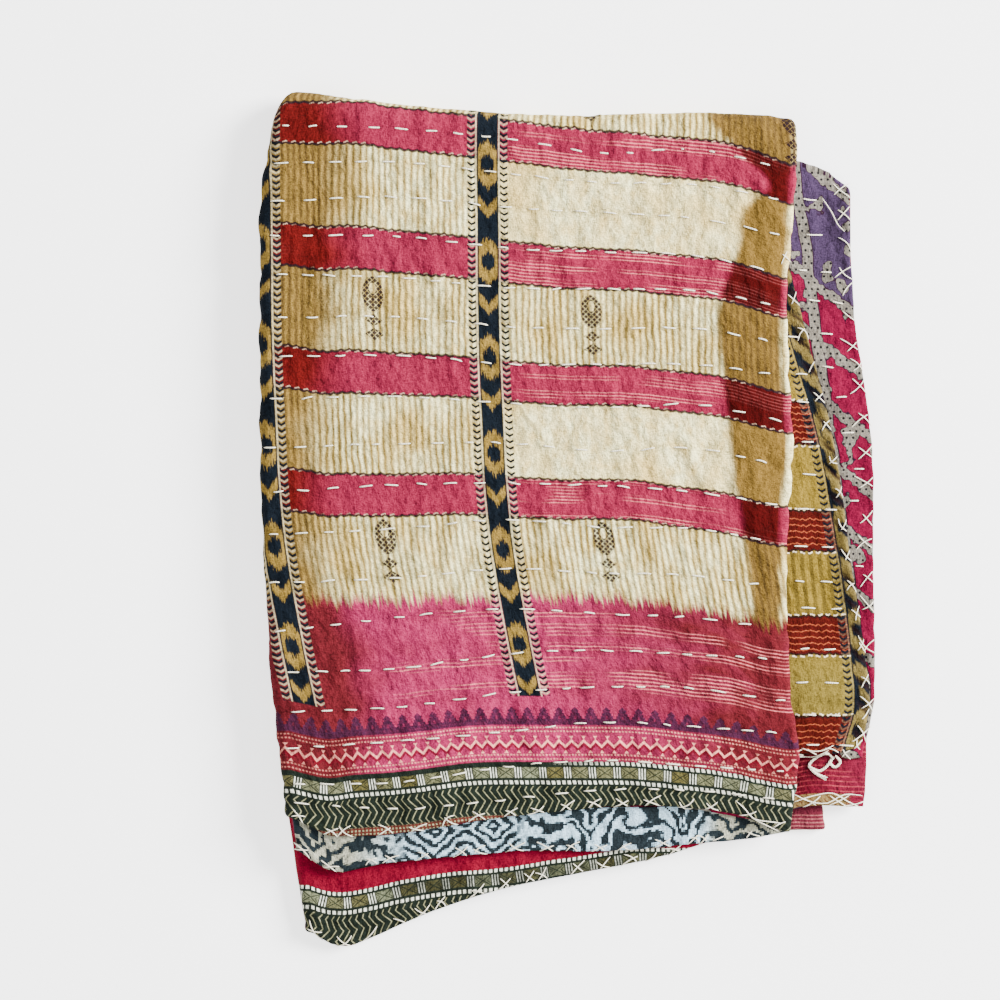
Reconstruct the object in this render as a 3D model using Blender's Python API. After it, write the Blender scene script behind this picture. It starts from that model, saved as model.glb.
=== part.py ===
"""A kantha quilt, folded and lying flat on a surface.

Two cloths, a patterned face cloth and a backing cloth, are quilted together by rows of running
stitches. The pair is folded across its width into four lanes, and that stack is folded in half
over the top. X runs to the right, Y towards the top fold, Z up. The origin is on the surface,
under the middle of the folded quilt. Sizes in the tables are millimetres; Blender gets metres.
"""

from collections import namedtuple

import bpy
import numpy as np

MM = 0.001

# Cloth
CLOTH_THICKNESS = 1.1  # each of the two cloths, with its share of the inner layers
CLOTH_GAP = 0.3  # between the face cloth and the backing cloth
QUILT_THICKNESS = 2 * CLOTH_THICKNESS + CLOTH_GAP
LAYER_PITCH = 4.4  # from the middle of one folded layer to the next
ROW_DEPTH = 0.35  # how deep a row of stitches pulls the outer faces in
ROW_SWELL = 0.3  # how far they swell out between the rows

# Steps of the grid, counted in quads
HEM_STEPS = 2  # from a layer's own hem to the line above which all the layers keep in step
FRONT_STEPS = 26
BEND_STEPS = 8
REAR_STEPS = 6
TURN_STEPS = 4
WRAP_TURN_STEPS = 6

# Folding
SIDE_SAG = 55.0  # over which a layer sinks past the right side of one beneath it
HEM_SAG = 60.0  # the same past a hem
HEM_MARGIN = 6.0  # from the highest hem to the line where the layers keep in step
TOP_STRETCH = 1.2  # how much further the outer layers reach over the top fold
CORNER_DRAW = 8.0  # how far the left fold swings in below the top fold
CORNER_DRAW_LENGTH = 60.0
CORNER_DRAW_TOP = 312.0
CORNER_SQUEEZE = 6.0  # how much further it is drawn in over the top fold
TURN_SPREAD = 0.7  # how far the side turns widen where they run over the top fold
SIDE_MARGIN = 4.0  # past the side of a layer, before the ones above start to sink
LEVEL_END_X = 118.0  # the layers lie level from the left fold to here
LEFT_CROWDING = 1.5  # how much closer the grid lines come towards the left fold
PUFF = 2.4  # height of the soft swellings of the front panel
PUFF_LENGTH = 260.0  # from one swelling to the next
PUFF_WIDTH = 190.0
PUFF_MARGIN = 70.0  # over which they die away towards the edges
PUFF_FLOOR = 0.3  # the share of their height that is left between them
PUFF_SLANT = 0.35  # how far their rows run askew, in X for each unit of Y
PUFF_LEAN = -0.2  # and in Y for each unit of X
SETTLING_ROUNDS = 16

# Thread tie
TIE_RADIUS = 0.95
TIE_LIFT = 0.35  # clearance over the cloth that it lies on
TIE_SIDES = 6

# The middle of the folded quilt in the tables below, which becomes the origin
MIDDLE_X = -0.57
MIDDLE_Y = -0.45

# The left fold: a straight stretch that swings to the right towards the hems
LEFT_FOLD_X = -247.3
LEFT_SWING = 36.0
SWING_TOP = 60.0
SWING_BOTTOM = -333.0
SWING_POWER = 1.9

SideStation = namedtuple("SideStation", "y front_fold rear_fold flap_edge wrap_edge rear_wrap_edge")
SIDE_STATIONS = [
    SideStation(320.0, 184.5, 172.0, 146.0, 226.0, 226.0),
    SideStation(255.0, 180.0, 152.0, 164.0, 226.0, 227.0),
    SideStation(165.0, 174.0, 141.0, 186.0, 230.0, 229.0),
    SideStation(60.0, 177.5, 142.0, 213.0, 244.0, 233.0),
    SideStation(-30.0, 173.5, 148.0, 226.0, 244.7, 237.0),
    SideStation(-115.0, 175.0, 168.0, 238.5, 246.4, 240.0),
    SideStation(-150.0, 178.0, 186.0, 241.5, 245.5, 240.0),
    SideStation(-190.0, 183.0, 198.0, 232.0, 236.0, 239.5),
    SideStation(-250.0, 177.0, 206.0, 226.0, 230.0, 236.0),
]
REAR_FLAP_INSET = 12.0  # how far the rear flap's edge stays behind the front flap's edge

HemStation = namedtuple("HemStation", "x y")
PANEL_HEM = [
    HemStation(-224.0, -237.0),
    HemStation(-211.0, -245.0),
    HemStation(-195.0, -253.0),
    HemStation(-172.0, -254.0),
    HemStation(-120.0, -250.0),
    HemStation(-84.0, -243.5),
    HemStation(-9.0, -234.0),
    HemStation(87.0, -230.8),
    HemStation(134.0, -237.0),
    HemStation(158.0, -246.0),
    HemStation(175.0, -251.5),
]
FLAP_HEM = [
    HemStation(-219.0, -264.5),
    HemStation(-205.0, -275.0),
    HemStation(-184.0, -283.5),
    HemStation(-169.0, -279.5),
    HemStation(-120.0, -274.0),
    HemStation(-44.0, -267.0),
    HemStation(28.0, -266.8),
    HemStation(68.0, -264.5),
    HemStation(101.0, -260.5),
    HemStation(147.0, -257.0),
    HemStation(175.0, -251.5),
]
INNER_FLAP_HEM = [
    HemStation(-219.0, -264.5),
    HemStation(-100.0, -245.0),
    HemStation(60.0, -210.0),
    HemStation(170.0, -189.0),
    HemStation(205.0, -189.0),
    HemStation(222.0, -186.8),
    HemStation(234.0, -183.0),
]
WRAP_HEM = [
    HemStation(-224.0, -237.0),
    HemStation(-60.0, -215.0),
    HemStation(100.0, -190.0),
    HemStation(195.0, -183.0),
    HemStation(210.0, -185.0),
    HemStation(220.0, -192.0),
    HemStation(236.0, -193.0),
]
REAR_PANEL_HEM = [
    HemStation(-212.0, -329.0),
    HemStation(-190.0, -338.0),
    HemStation(-134.0, -318.0),
    HemStation(-56.0, -293.0),
    HemStation(28.0, -271.0),
    HemStation(96.0, -257.0),
    HemStation(165.0, -252.0),
    HemStation(208.0, -251.0),
]
REAR_FLAP_HEM = [
    HemStation(-212.0, -309.0),
    HemStation(-136.0, -301.0),
    HemStation(28.0, -265.0),
    HemStation(96.0, -255.5),
    HemStation(180.0, -251.0),
    HemStation(208.0, -251.0),
]
REAR_INNER_FLAP_HEM = [
    HemStation(-212.0, -309.0),
    HemStation(0.0, -255.0),
    HemStation(226.0, -221.0),
]
REAR_WRAP_HEM = [
    HemStation(-212.0, -329.0),
    HemStation(-202.0, -336.5),
    HemStation(-187.0, -344.2),
    HemStation(-154.0, -335.0),
    HemStation(-120.0, -320.0),
    HemStation(-60.0, -299.5),
    HemStation(14.0, -284.0),
    HemStation(68.0, -274.0),
    HemStation(114.0, -259.0),
    HemStation(160.0, -240.0),
    HemStation(186.0, -232.0),
    HemStation(236.0, -232.4),
]
TOP_LINE = [  # where the front layers start to bend over
    HemStation(-238.0, 309.0),
    HemStation(-217.0, 308.0),
    HemStation(-182.0, 303.0),
    HemStation(-116.0, 295.5),
    HemStation(-60.0, 291.0),
    HemStation(0.0, 288.5),
    HemStation(70.0, 290.5),
    HemStation(140.0, 290.0),
    HemStation(180.0, 285.0),
    HemStation(205.0, 277.0),
    HemStation(217.0, 270.0),
    HemStation(228.0, 260.0),
]

# Lanes of the cloth, from the free edge of the inner flap to the free edge of the wrap.
# level counts the folded layers from the surface up on the front half, and the rear half mirrors
# it. level_steps lie between the left fold and LEVEL_END_X, side_steps between there and right.
Lane = namedtuple("Lane", "name level right hem rear_hem level_steps side_steps")
TOP_LEVEL = 7
INNER_FLAP = Lane("inner_flap", 5, "flap_edge", INNER_FLAP_HEM, REAR_INNER_FLAP_HEM, 3, 4)
FLAP = Lane("flap", 6, "fold", FLAP_HEM, REAR_FLAP_HEM, 4, 3)
PANEL = Lane("panel", 7, "fold", PANEL_HEM, REAR_PANEL_HEM, 6, 3)
WRAP = Lane("wrap", 4, "wrap_edge", WRAP_HEM, REAR_WRAP_HEM, 5, 5)
LANES = [INNER_FLAP, FLAP, PANEL, WRAP]
CLOTH_ROUGHNESS = 0.9
COLOURS = {
    "face_cloth": (0.62, 0.12, 0.16, 1.0),
    "backing_cloth": (0.44, 0.40, 0.46, 1.0),
    "thread_tie": (0.88, 0.80, 0.70, 1.0),
}

# The tie: knotted thread ends at the corner of the inner flap. height is counted in thread radii.
TiePoint = namedtuple("TiePoint", "x y height")
TIE_STRANDS = [
    [
        TiePoint(214.0, -190.5, 3.2),
        TiePoint(218.0, -196.0, 1.6),
        TiePoint(213.5, -200.0, 0.0),
        TiePoint(210.0, -196.5, 0.0),
        TiePoint(213.0, -191.5, 1.8),
    ],
    [
        TiePoint(213.0, -193.5, 0.4),
        TiePoint(207.0, -188.6, 1.6),
        TiePoint(200.0, -191.5, 0.6),
        TiePoint(193.0, -199.0, 0.0),
        TiePoint(196.5, -203.5, 0.0),
        TiePoint(207.0, -209.5, 0.0),
    ],
    [
        TiePoint(193.5, -200.0, 0.9),
        TiePoint(201.0, -203.0, 0.0),
        TiePoint(207.5, -199.0, 0.0),
        TiePoint(210.5, -194.0, 0.9),
    ],
]


def smooth_step(t):
    """0 up to t = 0, 1 from t = 1, and a smooth rise between them."""
    t = np.clip(t, 0.0, 1.0)
    return t * t * (3.0 - 2.0 * t)


def curve_through(knots, values, at):
    """A smooth curve through a table's stations that holds its end values outside them."""
    knots, values = np.asarray(knots, float), np.asarray(values, float)
    order = np.argsort(knots)
    knots, values = knots[order], values[order]
    at = np.clip(at, knots[0], knots[-1])
    cell = np.clip(np.searchsorted(knots, at, side="right") - 1, 0, len(knots) - 2)
    slopes = np.gradient(values, knots)
    width = knots[cell + 1] - knots[cell]
    t = (at - knots[cell]) / width
    start, end = values[cell], values[cell + 1]
    return (
        start * (1 + 2 * t) * (1 - t) ** 2
        + slopes[cell] * width * t * (1 - t) ** 2
        + end * t**2 * (3 - 2 * t)
        - slopes[cell + 1] * width * t**2 * (1 - t)
    )


def hem_y(stations, x):
    """Height in Y of a hem, or of the top line, at x."""
    return curve_through([s.x for s in stations], [s.y for s in stations], x)


def left_fold(y):
    """X of the outline of the left fold at y."""
    t = np.clip((SWING_TOP - y) / (SWING_TOP - SWING_BOTTOM), 0.0, None)
    draw = smooth_step((y - CORNER_DRAW_TOP) / CORNER_DRAW_LENGTH + 1)
    return LEFT_FOLD_X + LEFT_SWING * t**SWING_POWER + CORNER_DRAW * draw


def right_side(name, y, rear):
    """X of the outline of the right fold or a free edge at y, on the front half (rear = 0) or the rear (1)."""
    ys = [s.y for s in SIDE_STATIONS]
    if name == "flap_edge":
        front = curve_through(ys, [s.flap_edge for s in SIDE_STATIONS], y)
        top = SIDE_STATIONS[0].y
        return front - REAR_FLAP_INSET * rear * smooth_step((top - y) / (top - SWING_BOTTOM))
    front_name, rear_name = {
        "fold": ("front_fold", "rear_fold"),
        "wrap_edge": ("wrap_edge", "rear_wrap_edge"),
    }[name]
    front = curve_through(ys, [getattr(s, front_name) for s in SIDE_STATIONS], y)
    behind = curve_through(ys, [getattr(s, rear_name) for s in SIDE_STATIONS], y)
    return front + (behind - front) * rear


def presence(lane, rear, x, y):
    """1 where a lane's layer lies, falling to 0 past its right side and past its hem."""
    beyond_side = (x - right_side(lane.right, y, rear) - SIDE_MARGIN) / SIDE_SAG
    beyond_hem = (hem_y(lane.rear_hem if rear else lane.hem, x) - y) / HEM_SAG
    return (1 - smooth_step(beyond_side)) * (1 - smooth_step(beyond_hem))


def puff(x, y):
    """Soft swellings of the front panel, never below 0."""
    across = np.cos(np.pi * (x + PUFF_SLANT * y) / PUFF_LENGTH) ** 2
    along = np.cos(np.pi * (y + PUFF_LEAN * x) / PUFF_WIDTH) ** 2
    side = smooth_step((LEVEL_END_X - np.abs(x)) / PUFF_MARGIN + 1)
    ends = smooth_step((SIDE_STATIONS[1].y - y) / PUFF_MARGIN) * smooth_step(
        (y - SIDE_STATIONS[-2].y) / PUFF_MARGIN + 1
    )
    return PUFF * (PUFF_FLOOR + (1 - PUFF_FLOOR) * across * along) * side * ends


def layer_heights(x, y):
    """Z of the middle of all eight folded layers at (x, y), from the surface up."""
    by_level = {lane.level: lane for lane in LANES}
    z = np.full(np.shape(x), QUILT_THICKNESS / 2)
    heights = [z]
    for level in range(TOP_LEVEL):
        rear = level < TOP_LEVEL / 2
        lane = by_level[TOP_LEVEL - level if rear else level]
        z = z + LAYER_PITCH * presence(lane, int(rear), x, y)
        heights.append(z)
    heights[TOP_LEVEL] = z + puff(x, y)
    return heights


def top_reach(level):
    """How far a layer reaches past the top line in Y: the outer ones reach furthest."""
    innermost, outermost = 0.5, TOP_LEVEL / 2
    steps_out = level - TOP_LEVEL / 2
    return LAYER_PITCH * steps_out * (1 + TOP_STRETCH * (steps_out - innermost) / (outermost - innermost))


def placed(level, x, y, angle):
    """Y and Z of a layer at a point of the front (angle 0), the top bend or the rear (pi)."""
    heights = layer_heights(x, y)
    upper, lower = heights[level], heights[TOP_LEVEL - level]
    z = (upper + lower) / 2 + (upper - lower) / 2 * np.cos(angle)
    return y + top_reach(level) * np.sin(angle), z


def turn_radius(level, other_level, x, y, angle):
    """How far a turn reaches in X: half of the gap that it bridges, and less over the top fold."""
    first, second = placed(level, x, y, angle), placed(other_level, x, y, angle)
    half_gap = np.hypot(first[0] - second[0], first[1] - second[1]) / 2
    heights = layer_heights(x, y)
    front = np.abs(heights[level] - heights[other_level]) / 2
    rear = np.abs(heights[TOP_LEVEL - level] - heights[TOP_LEVEL - other_level]) / 2
    half_height = (front + rear) / 2 + (front - rear) / 2 * np.cos(angle)
    return half_height + TURN_SPREAD * (half_gap - half_height)


def rear_share(angle):
    """0 on the front and over the top, then rising to 1 on the rear."""
    return smooth_step(2 * angle / np.pi - 1)


def left_centre(y, angle):
    """X of the line that both left turns go round, so that the outer one reaches the outline."""
    outline = left_fold(y) + CORNER_SQUEEZE * np.sin(angle) ** 2
    return outline + turn_radius(PANEL.level, WRAP.level, outline, y, angle) + QUILT_THICKNESS / 2


def right_centre(lane, y, angle):
    """X where a lane ends on the right: its free edge, or the line that the right turn goes round."""
    outline = right_side(lane.right, y, rear_share(angle))
    if lane.right != "fold":
        return outline
    return outline - turn_radius(PANEL.level, FLAP.level, outline, y, angle) - QUILT_THICKNESS / 2


def step_line(x, rear):
    """Y of the line just above the highest hem at x: from there up the layers keep in step."""
    hems = [hem_y(lane.rear_hem if rear else lane.hem, x) for lane in LANES]
    return np.max(hems, axis=0) + HEM_MARGIN


# A grid line along the cloth. In a lane, along runs from 0 at the left fold to 1 at LEVEL_END_X and
# 2 at the right side. In a turn, turn is its angle, and the lane turns into the next one.
Column = namedtuple("Column", "lane following along turn")


def columns_across():
    """The grid lines, lane by lane and turn by turn, from one free edge to the other."""
    columns = []
    for number, lane in enumerate(LANES):
        stations = [(step / lane.level_steps) ** LEFT_CROWDING for step in range(lane.level_steps)]
        stations += [1 + step / lane.side_steps for step in range(lane.side_steps + 1)]
        leftwards = number % 2 == 0
        columns += [Column(lane, lane, s, 0.0) for s in (stations[::-1] if leftwards else stations)]
        if number + 1 < len(LANES):
            following = LANES[number + 1]
            steps = WRAP_TURN_STEPS if following is WRAP else TURN_STEPS
            side = 0.0 if leftwards else 2.0
            columns += [Column(lane, following, side, np.pi * step / steps) for step in range(1, steps)]
    return columns


# A grid line across the cloth. share runs from 0 at the hem to 1 at the step line and 2 at the top
# line, angle from 0 on the front to pi on the rear, and relief is how far the outer faces swell.
Line = namedtuple("Line", "share angle relief")


def lines_along():
    """The grid lines from the front hem over the top to the rear hem."""
    hem = [step / HEM_STEPS for step in range(HEM_STEPS)]
    front = hem + [1 + step / FRONT_STEPS for step in range(FRONT_STEPS)]
    rear = hem + [1 + step / REAR_STEPS for step in range(REAR_STEPS)]
    relief = [0.0] + [-ROW_DEPTH if number % 2 else ROW_SWELL for number in range(1, len(front))]
    lines = [Line(share, 0.0, swell) for share, swell in zip(front, relief)]
    lines += [Line(2.0, np.pi * step / BEND_STEPS, 0.0) for step in range(BEND_STEPS + 1)]
    return lines + [Line(share, np.pi, -ROW_DEPTH if 0 < share < 1 else 0.0) for share in reversed(rear)]


def column_points(column, lines):
    """One column's points as X, Y and Z arrays, found by letting X and Y settle on each other."""
    share = np.array([line.share for line in lines])
    angle = np.array([line.angle for line in lines])
    rear = angle > np.pi / 2
    mix = column.turn / np.pi
    lane, following = column.lane, column.following
    y = np.zeros(len(lines))
    for _ in range(SETTLING_ROUNDS):
        left, right = left_centre(y, angle), right_centre(lane, y, angle)
        inner = np.minimum(LEVEL_END_X, right)
        x = left + (inner - left) * min(column.along, 1.0) + (right - inner) * max(column.along - 1.0, 0.0)
        hems = [np.where(rear, hem_y(side.rear_hem, x), hem_y(side.hem, x)) for side in (lane, following)]
        hem = (1 - mix) * hems[0] + mix * hems[1]
        step = np.where(rear, step_line(x, True), step_line(x, False))
        top = hem_y(TOP_LINE, x)
        y = hem + (step - hem) * np.minimum(share, 1.0) + (top - step) * np.maximum(share - 1.0, 0.0)
    if not column.turn:
        return np.stack([x, *placed(lane.level, x, y, angle)], axis=-1)
    first, second = placed(lane.level, x, y, angle), placed(following.level, x, y, angle)
    outwards = -1.0 if column.along == 0 else 1.0
    x_turned = x + outwards * turn_radius(lane.level, following.level, x, y, angle) * np.sin(column.turn)
    weight = (1 + np.cos(column.turn)) / 2
    y_turned = weight * first[0] + (1 - weight) * second[0]
    z_turned = weight * first[1] + (1 - weight) * second[1]
    return np.stack([x_turned, y_turned, z_turned], axis=-1)


def middle_surface():
    """The middle of the quilt as a grid of points in millimetres, and the relief of each line."""
    lines = lines_along()
    points = np.stack([column_points(column, lines) for column in columns_across()])
    return points, np.array([line.relief for line in lines])


def surface_normals(points):
    """Unit normals of the grid that point to the side of the face cloth."""
    normals = np.cross(np.gradient(points, axis=1), np.gradient(points, axis=0))
    return normals / np.linalg.norm(normals, axis=-1, keepdims=True)


def in_metres(points):
    """Points of the tables' frame as metres from the origin."""
    return ((points - (MIDDLE_X, MIDDLE_Y, 0.0)) * MM).tolist()


def closed_sheet(name, outside, inside):
    """A closed mesh object between two grids of points, its faces pointing outwards."""
    across, along = outside.shape[:2]
    points = np.concatenate([outside.reshape(-1, 3), inside.reshape(-1, 3)])
    index = np.arange(across * along).reshape(across, along)
    near, beside, across_from, after = index[:-1, :-1], index[:-1, 1:], index[1:, 1:], index[1:, :-1]
    halves = [(near, beside, across_from), (near, across_from, after)]
    top = np.concatenate([np.stack(corners, axis=-1).reshape(-1, 3) for corners in halves])
    rim = np.concatenate([index[:-1, 0], index[-1, :-1], index[:0:-1, -1], index[0, :0:-1]])
    following, below = np.roll(rim, -1), across * along
    edge = [np.stack([rim, following, following + below], axis=-1)]
    edge.append(np.stack([rim, following + below, rim + below], axis=-1))
    faces = np.concatenate([top, top[:, ::-1] + below, *edge])
    mesh = bpy.data.meshes.new(name)
    mesh.from_pydata(in_metres(points), [], faces.tolist())
    return add_object(name, mesh)


def add_object(name, mesh):
    """Puts a mesh in the scene with its own material, shaded smooth."""
    mesh.shade_smooth()
    thing = bpy.data.objects.new(name, mesh)
    bpy.context.scene.collection.objects.link(thing)
    if name in COLOURS:
        material = bpy.data.materials.new(name)
        material.use_nodes = True
        shader = material.node_tree.nodes["Principled BSDF"]
        shader.inputs["Base Color"].default_value = COLOURS[name]
        shader.inputs["Roughness"].default_value = CLOTH_ROUGHNESS
        mesh.materials.append(material)
    return thing


def tube(name, path, radius, sides):
    """A closed tube round a path of points, with flat ends."""
    tangents = np.gradient(path, axis=0)
    tangents /= np.linalg.norm(tangents, axis=1, keepdims=True)
    side = np.cross(tangents, (0.0, 0.0, 1.0))
    side /= np.linalg.norm(side, axis=1, keepdims=True)
    up = np.cross(side, tangents)
    turn = np.arange(sides) * 2 * np.pi / sides
    rings = path[:, None] + radius * (
        np.cos(turn)[None, :, None] * side[:, None] + np.sin(turn)[None, :, None] * up[:, None]
    )
    index = np.arange(len(path) * sides).reshape(len(path), sides)
    following = np.roll(index, -1, axis=1)
    quads = np.stack([index[:-1], following[:-1], following[1:], index[1:]], axis=-1).reshape(-1, 4)
    faces = quads.tolist() + [index[0, ::-1].tolist(), index[-1].tolist()]
    mesh = bpy.data.meshes.new(name)
    mesh.from_pydata(in_metres(rings.reshape(-1, 3)), [], faces)
    return add_object(name, mesh)


def tie_path(strand, points_between=4):
    """A smooth path through a strand's points, laid over the rear wrap that it rests on."""
    knots = np.arange(len(strand))
    at = np.linspace(0, len(strand) - 1, (len(strand) - 1) * points_between + 1)
    x = curve_through(knots, [p.x for p in strand], at)
    y = curve_through(knots, [p.y for p in strand], at)
    lift = curve_through(knots, [p.height for p in strand], at) * TIE_RADIUS
    rear_wrap_level = TOP_LEVEL - WRAP.level
    cloth = layer_heights(x, y)[rear_wrap_level] + QUILT_THICKNESS / 2
    return np.stack([x, y, cloth + TIE_LIFT + TIE_RADIUS + lift], axis=-1)


def build_cloths():
    """The face cloth on the outer side of the middle surface and the backing cloth on the other."""
    points, relief = middle_surface()
    normals = surface_normals(points)
    near = CLOTH_GAP / 2
    far = (QUILT_THICKNESS / 2 + relief)[:, None]
    closed_sheet("face_cloth", points + normals * far, points + normals * near)
    closed_sheet("backing_cloth", points - normals * near, points - normals * far)


def build_tie():
    """The knotted thread ends, their strands fused where they cross."""
    tie = tube("thread_tie", tie_path(TIE_STRANDS[0]), TIE_RADIUS, TIE_SIDES)
    for number, strand in enumerate(TIE_STRANDS[1:], start=1):
        helper = tube(f"tie_strand_{number}", tie_path(strand), TIE_RADIUS, TIE_SIDES)
        union = tie.modifiers.new(helper.name, "BOOLEAN")
        union.operation = "UNION"
        union.solver = "EXACT"
        union.object = helper
        helper.hide_render = True


def main():
    """Clears the scene and builds the quilt."""
    for thing in list(bpy.data.objects):
        bpy.data.objects.remove(thing)
    build_cloths()
    build_tie()


main()
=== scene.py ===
"""Dresses a folded kantha quilt: the cloths with their prints and quilting, the threads and the studio.

The quilt is two cloths stitched together. It is folded across its width into four lanes, and that
stack is folded in half over the top. X runs to the right, Y towards the top fold, Z up. Tables and
shapes are in millimetres of the folding's own frame; Blender gets metres from the model's origin.
"""

from __future__ import annotations

import logging
from dataclasses import dataclass
from enum import Enum
from typing import Callable, NamedTuple, Sequence, TypeVar

import bpy
import numpy as np
from bpy.types import Material, Node, NodeSocket, Object
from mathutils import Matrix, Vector


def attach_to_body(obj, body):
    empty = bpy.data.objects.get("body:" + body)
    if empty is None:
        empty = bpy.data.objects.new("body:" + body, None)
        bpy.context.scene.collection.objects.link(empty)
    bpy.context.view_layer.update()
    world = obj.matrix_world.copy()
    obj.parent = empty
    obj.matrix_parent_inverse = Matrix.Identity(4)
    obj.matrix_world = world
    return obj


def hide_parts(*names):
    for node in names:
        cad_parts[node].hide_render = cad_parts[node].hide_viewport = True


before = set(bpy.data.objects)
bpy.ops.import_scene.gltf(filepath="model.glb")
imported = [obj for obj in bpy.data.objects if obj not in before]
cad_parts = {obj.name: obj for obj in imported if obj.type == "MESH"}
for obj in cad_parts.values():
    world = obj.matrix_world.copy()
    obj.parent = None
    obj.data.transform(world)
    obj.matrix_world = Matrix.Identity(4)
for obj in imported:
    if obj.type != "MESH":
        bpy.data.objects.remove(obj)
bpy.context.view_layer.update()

Array = np.ndarray
join = np.concatenate
Colour = tuple[float, float, float, float]
Pair = tuple[float, float]
log = logging.getLogger("quilt")

MM = 0.001
MIDDLE = np.array([-0.57, -0.45, 0.0])  # the model's origin in the tables' frame
LATTICE = 256  # cells of soft noise before it repeats
FAR = 1000.0  # further than anything on the quilt, in millimetres


# ---- curves and noise


def line_from(start: float, y: float, slope: float) -> Callable[[Array], Array]:
    """Y at X along the line through (start, y) with this slope."""
    return lambda x: y + slope * (x - start)


def smooth_step(t: Array) -> Array:
    """t^2 (3 - 2 t) with t held between 0 and 1."""
    t = np.clip(t, 0.0, 1.0)
    return t * t * (3.0 - 2.0 * t)


def curve_through(knots: Sequence[float], values: Sequence[float], at: Array) -> Array:
    """A smooth curve through stations, holding its end values outside them.

    Between two knots with t from 0 to 1 it is the cubic Hermite sum
    v0 (1 + 2t)(1 - t)^2 + m0 w t (1 - t)^2 + v1 t^2 (3 - 2t) - m1 w t^2 (1 - t),
    with w the knots' distance and m the slopes.

    Args:
        knots: Where the stations are, in any order.
        values: The curve's value at each.
        at: Where it is wanted.

    Returns:
        Its values there.
    """
    knots, values = np.asarray(knots, float), np.asarray(values, float)
    order = np.argsort(knots)
    knots, values = knots[order], values[order]
    at = np.clip(at, knots[0], knots[-1])
    cell = np.clip(np.searchsorted(knots, at, side="right") - 1, 0, len(knots) - 2)
    slopes = np.gradient(values, knots)
    width = knots[cell + 1] - knots[cell]
    t = (at - knots[cell]) / width
    start, end = values[cell], values[cell + 1]
    return (
        start * (1 + 2 * t) * (1 - t) ** 2
        + slopes[cell] * width * t * (1 - t) ** 2
        + end * t**2 * (3 - 2 * t)
        - slopes[cell + 1] * width * t**2 * (1 - t)
    )


def soft_noise(u: Array, v: Array, size: Pair, seed: int) -> Array:
    """Smooth random values from -1 to 1: a lattice of random values, blended over each cell.

    Args:
        u: First coordinate of each point.
        v: Second coordinate.
        size: The cell's size along u and v.
        seed: Picks the lattice.

    Returns:
        One value for each point.
    """
    lattice = np.random.default_rng(seed).uniform(-1.0, 1.0, (LATTICE, LATTICE))
    column, row = u / size[0], v / size[1]
    i, j = np.floor(column).astype(int), np.floor(row).astype(int)
    s, t = smooth_step(column - i), smooth_step(row - j)
    return blend_cells(lambda a, b: lattice[a % LATTICE, b % LATTICE], i, j, s, t)


def unit(vectors: Array) -> Array:
    """The vectors at length 1."""
    return vectors / np.linalg.norm(vectors, axis=-1, keepdims=True)


def travelled(points: Array, axis: int) -> Array:
    """Distance along an axis of an array of points, from its start."""
    steps = np.linalg.norm(np.diff(points, axis=axis), axis=-1)
    return np.insert(np.cumsum(steps, axis=axis), 0, 0.0, axis=axis)


def blend_cells(cells: Callable[[Array, Array], Array], i: Array, j: Array, s: Array, t: Array) -> Array:
    """The value at (s, t) inside cell (i, j), blended straight between the cell's four corners."""
    near = cells(i, j) * (1 - s) + cells(i + 1, j) * s
    far = cells(i, j + 1) * (1 - s) + cells(i + 1, j + 1) * s
    return near * (1 - t) + far * t


Row = TypeVar("Row", bound=tuple)


def table(kind: type[Row], *rows: tuple[float, ...]) -> list[Row]:
    """Rows of numbers as named tuples of one kind."""
    return [kind(*row) for row in rows]


def line_at(stations: Sequence[tuple], field: str, at: Array) -> Array:
    """A field of stations on the smooth curve through them. Their first field is where they stand."""
    return curve_through([s[0] for s in stations], [getattr(s, field) for s in stations], at)


# ---- sizes of the folding


class SideStation(NamedTuple):
    """X of each right fold and free edge at one height in Y."""

    y: float
    front_fold: float
    rear_fold: float
    flap_edge: float
    wrap_edge: float
    rear_wrap_edge: float


class HemStation(NamedTuple):
    """One point of a hem, or of the line where the layers bend over the top."""

    x: float
    y: float


class Lane(NamedTuple):
    """A lane of the cloth: level counts its folded layer from the surface up on the front half."""

    name: str
    level: int
    right: str
    hem: Sequence[HemStation]
    rear_hem: Sequence[HemStation]


SIDE_STATIONS = table(
    SideStation, (320, 184.5, 172, 146, 226, 226), (255, 180, 152, 164, 226, 227),
    (165, 174, 141, 186, 230, 229), (60, 177.5, 142, 213, 244, 233), (-30, 173.5, 148, 226, 244.7, 237),
    (-115, 175, 168, 238.5, 246.4, 240), (-150, 178, 186, 241.5, 245.5, 240),
    (-190, 183, 198, 232, 236, 239.5), (-250, 177, 206, 226, 230, 236),
)
PANEL_HEM = table(
    HemStation, (-224, -237), (-211, -245), (-195, -253), (-172, -254), (-120, -250), (-84, -243.5),
    (-9, -234), (87, -230.8), (134, -237), (158, -246), (175, -251.5),
)
FLAP_HEM = table(
    HemStation, (-219, -264.5), (-205, -275), (-184, -283.5), (-169, -279.5), (-120, -274), (-44, -267),
    (28, -266.8), (68, -264.5), (101, -260.5), (147, -257), (175, -251.5),
)
INNER_FLAP_HEM = table(
    HemStation, (-219, -264.5), (-100, -245), (60, -210), (170, -189), (205, -189), (222, -186.8),
    (234, -183),
)
WRAP_HEM = table(
    HemStation, (-224, -237), (-60, -215), (100, -190), (195, -183), (210, -185), (220, -192), (236, -193),
)
REAR_PANEL_HEM = table(
    HemStation, (-212, -329), (-190, -338), (-134, -318), (-56, -293), (28, -271), (96, -257), (165, -252),
    (208, -251),
)
REAR_FLAP_HEM = table(
    HemStation, (-212, -309), (-136, -301), (28, -265), (96, -255.5), (180, -251), (208, -251),
)
REAR_INNER_FLAP_HEM = table(HemStation, (-212, -309), (0, -255), (226, -221))
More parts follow.
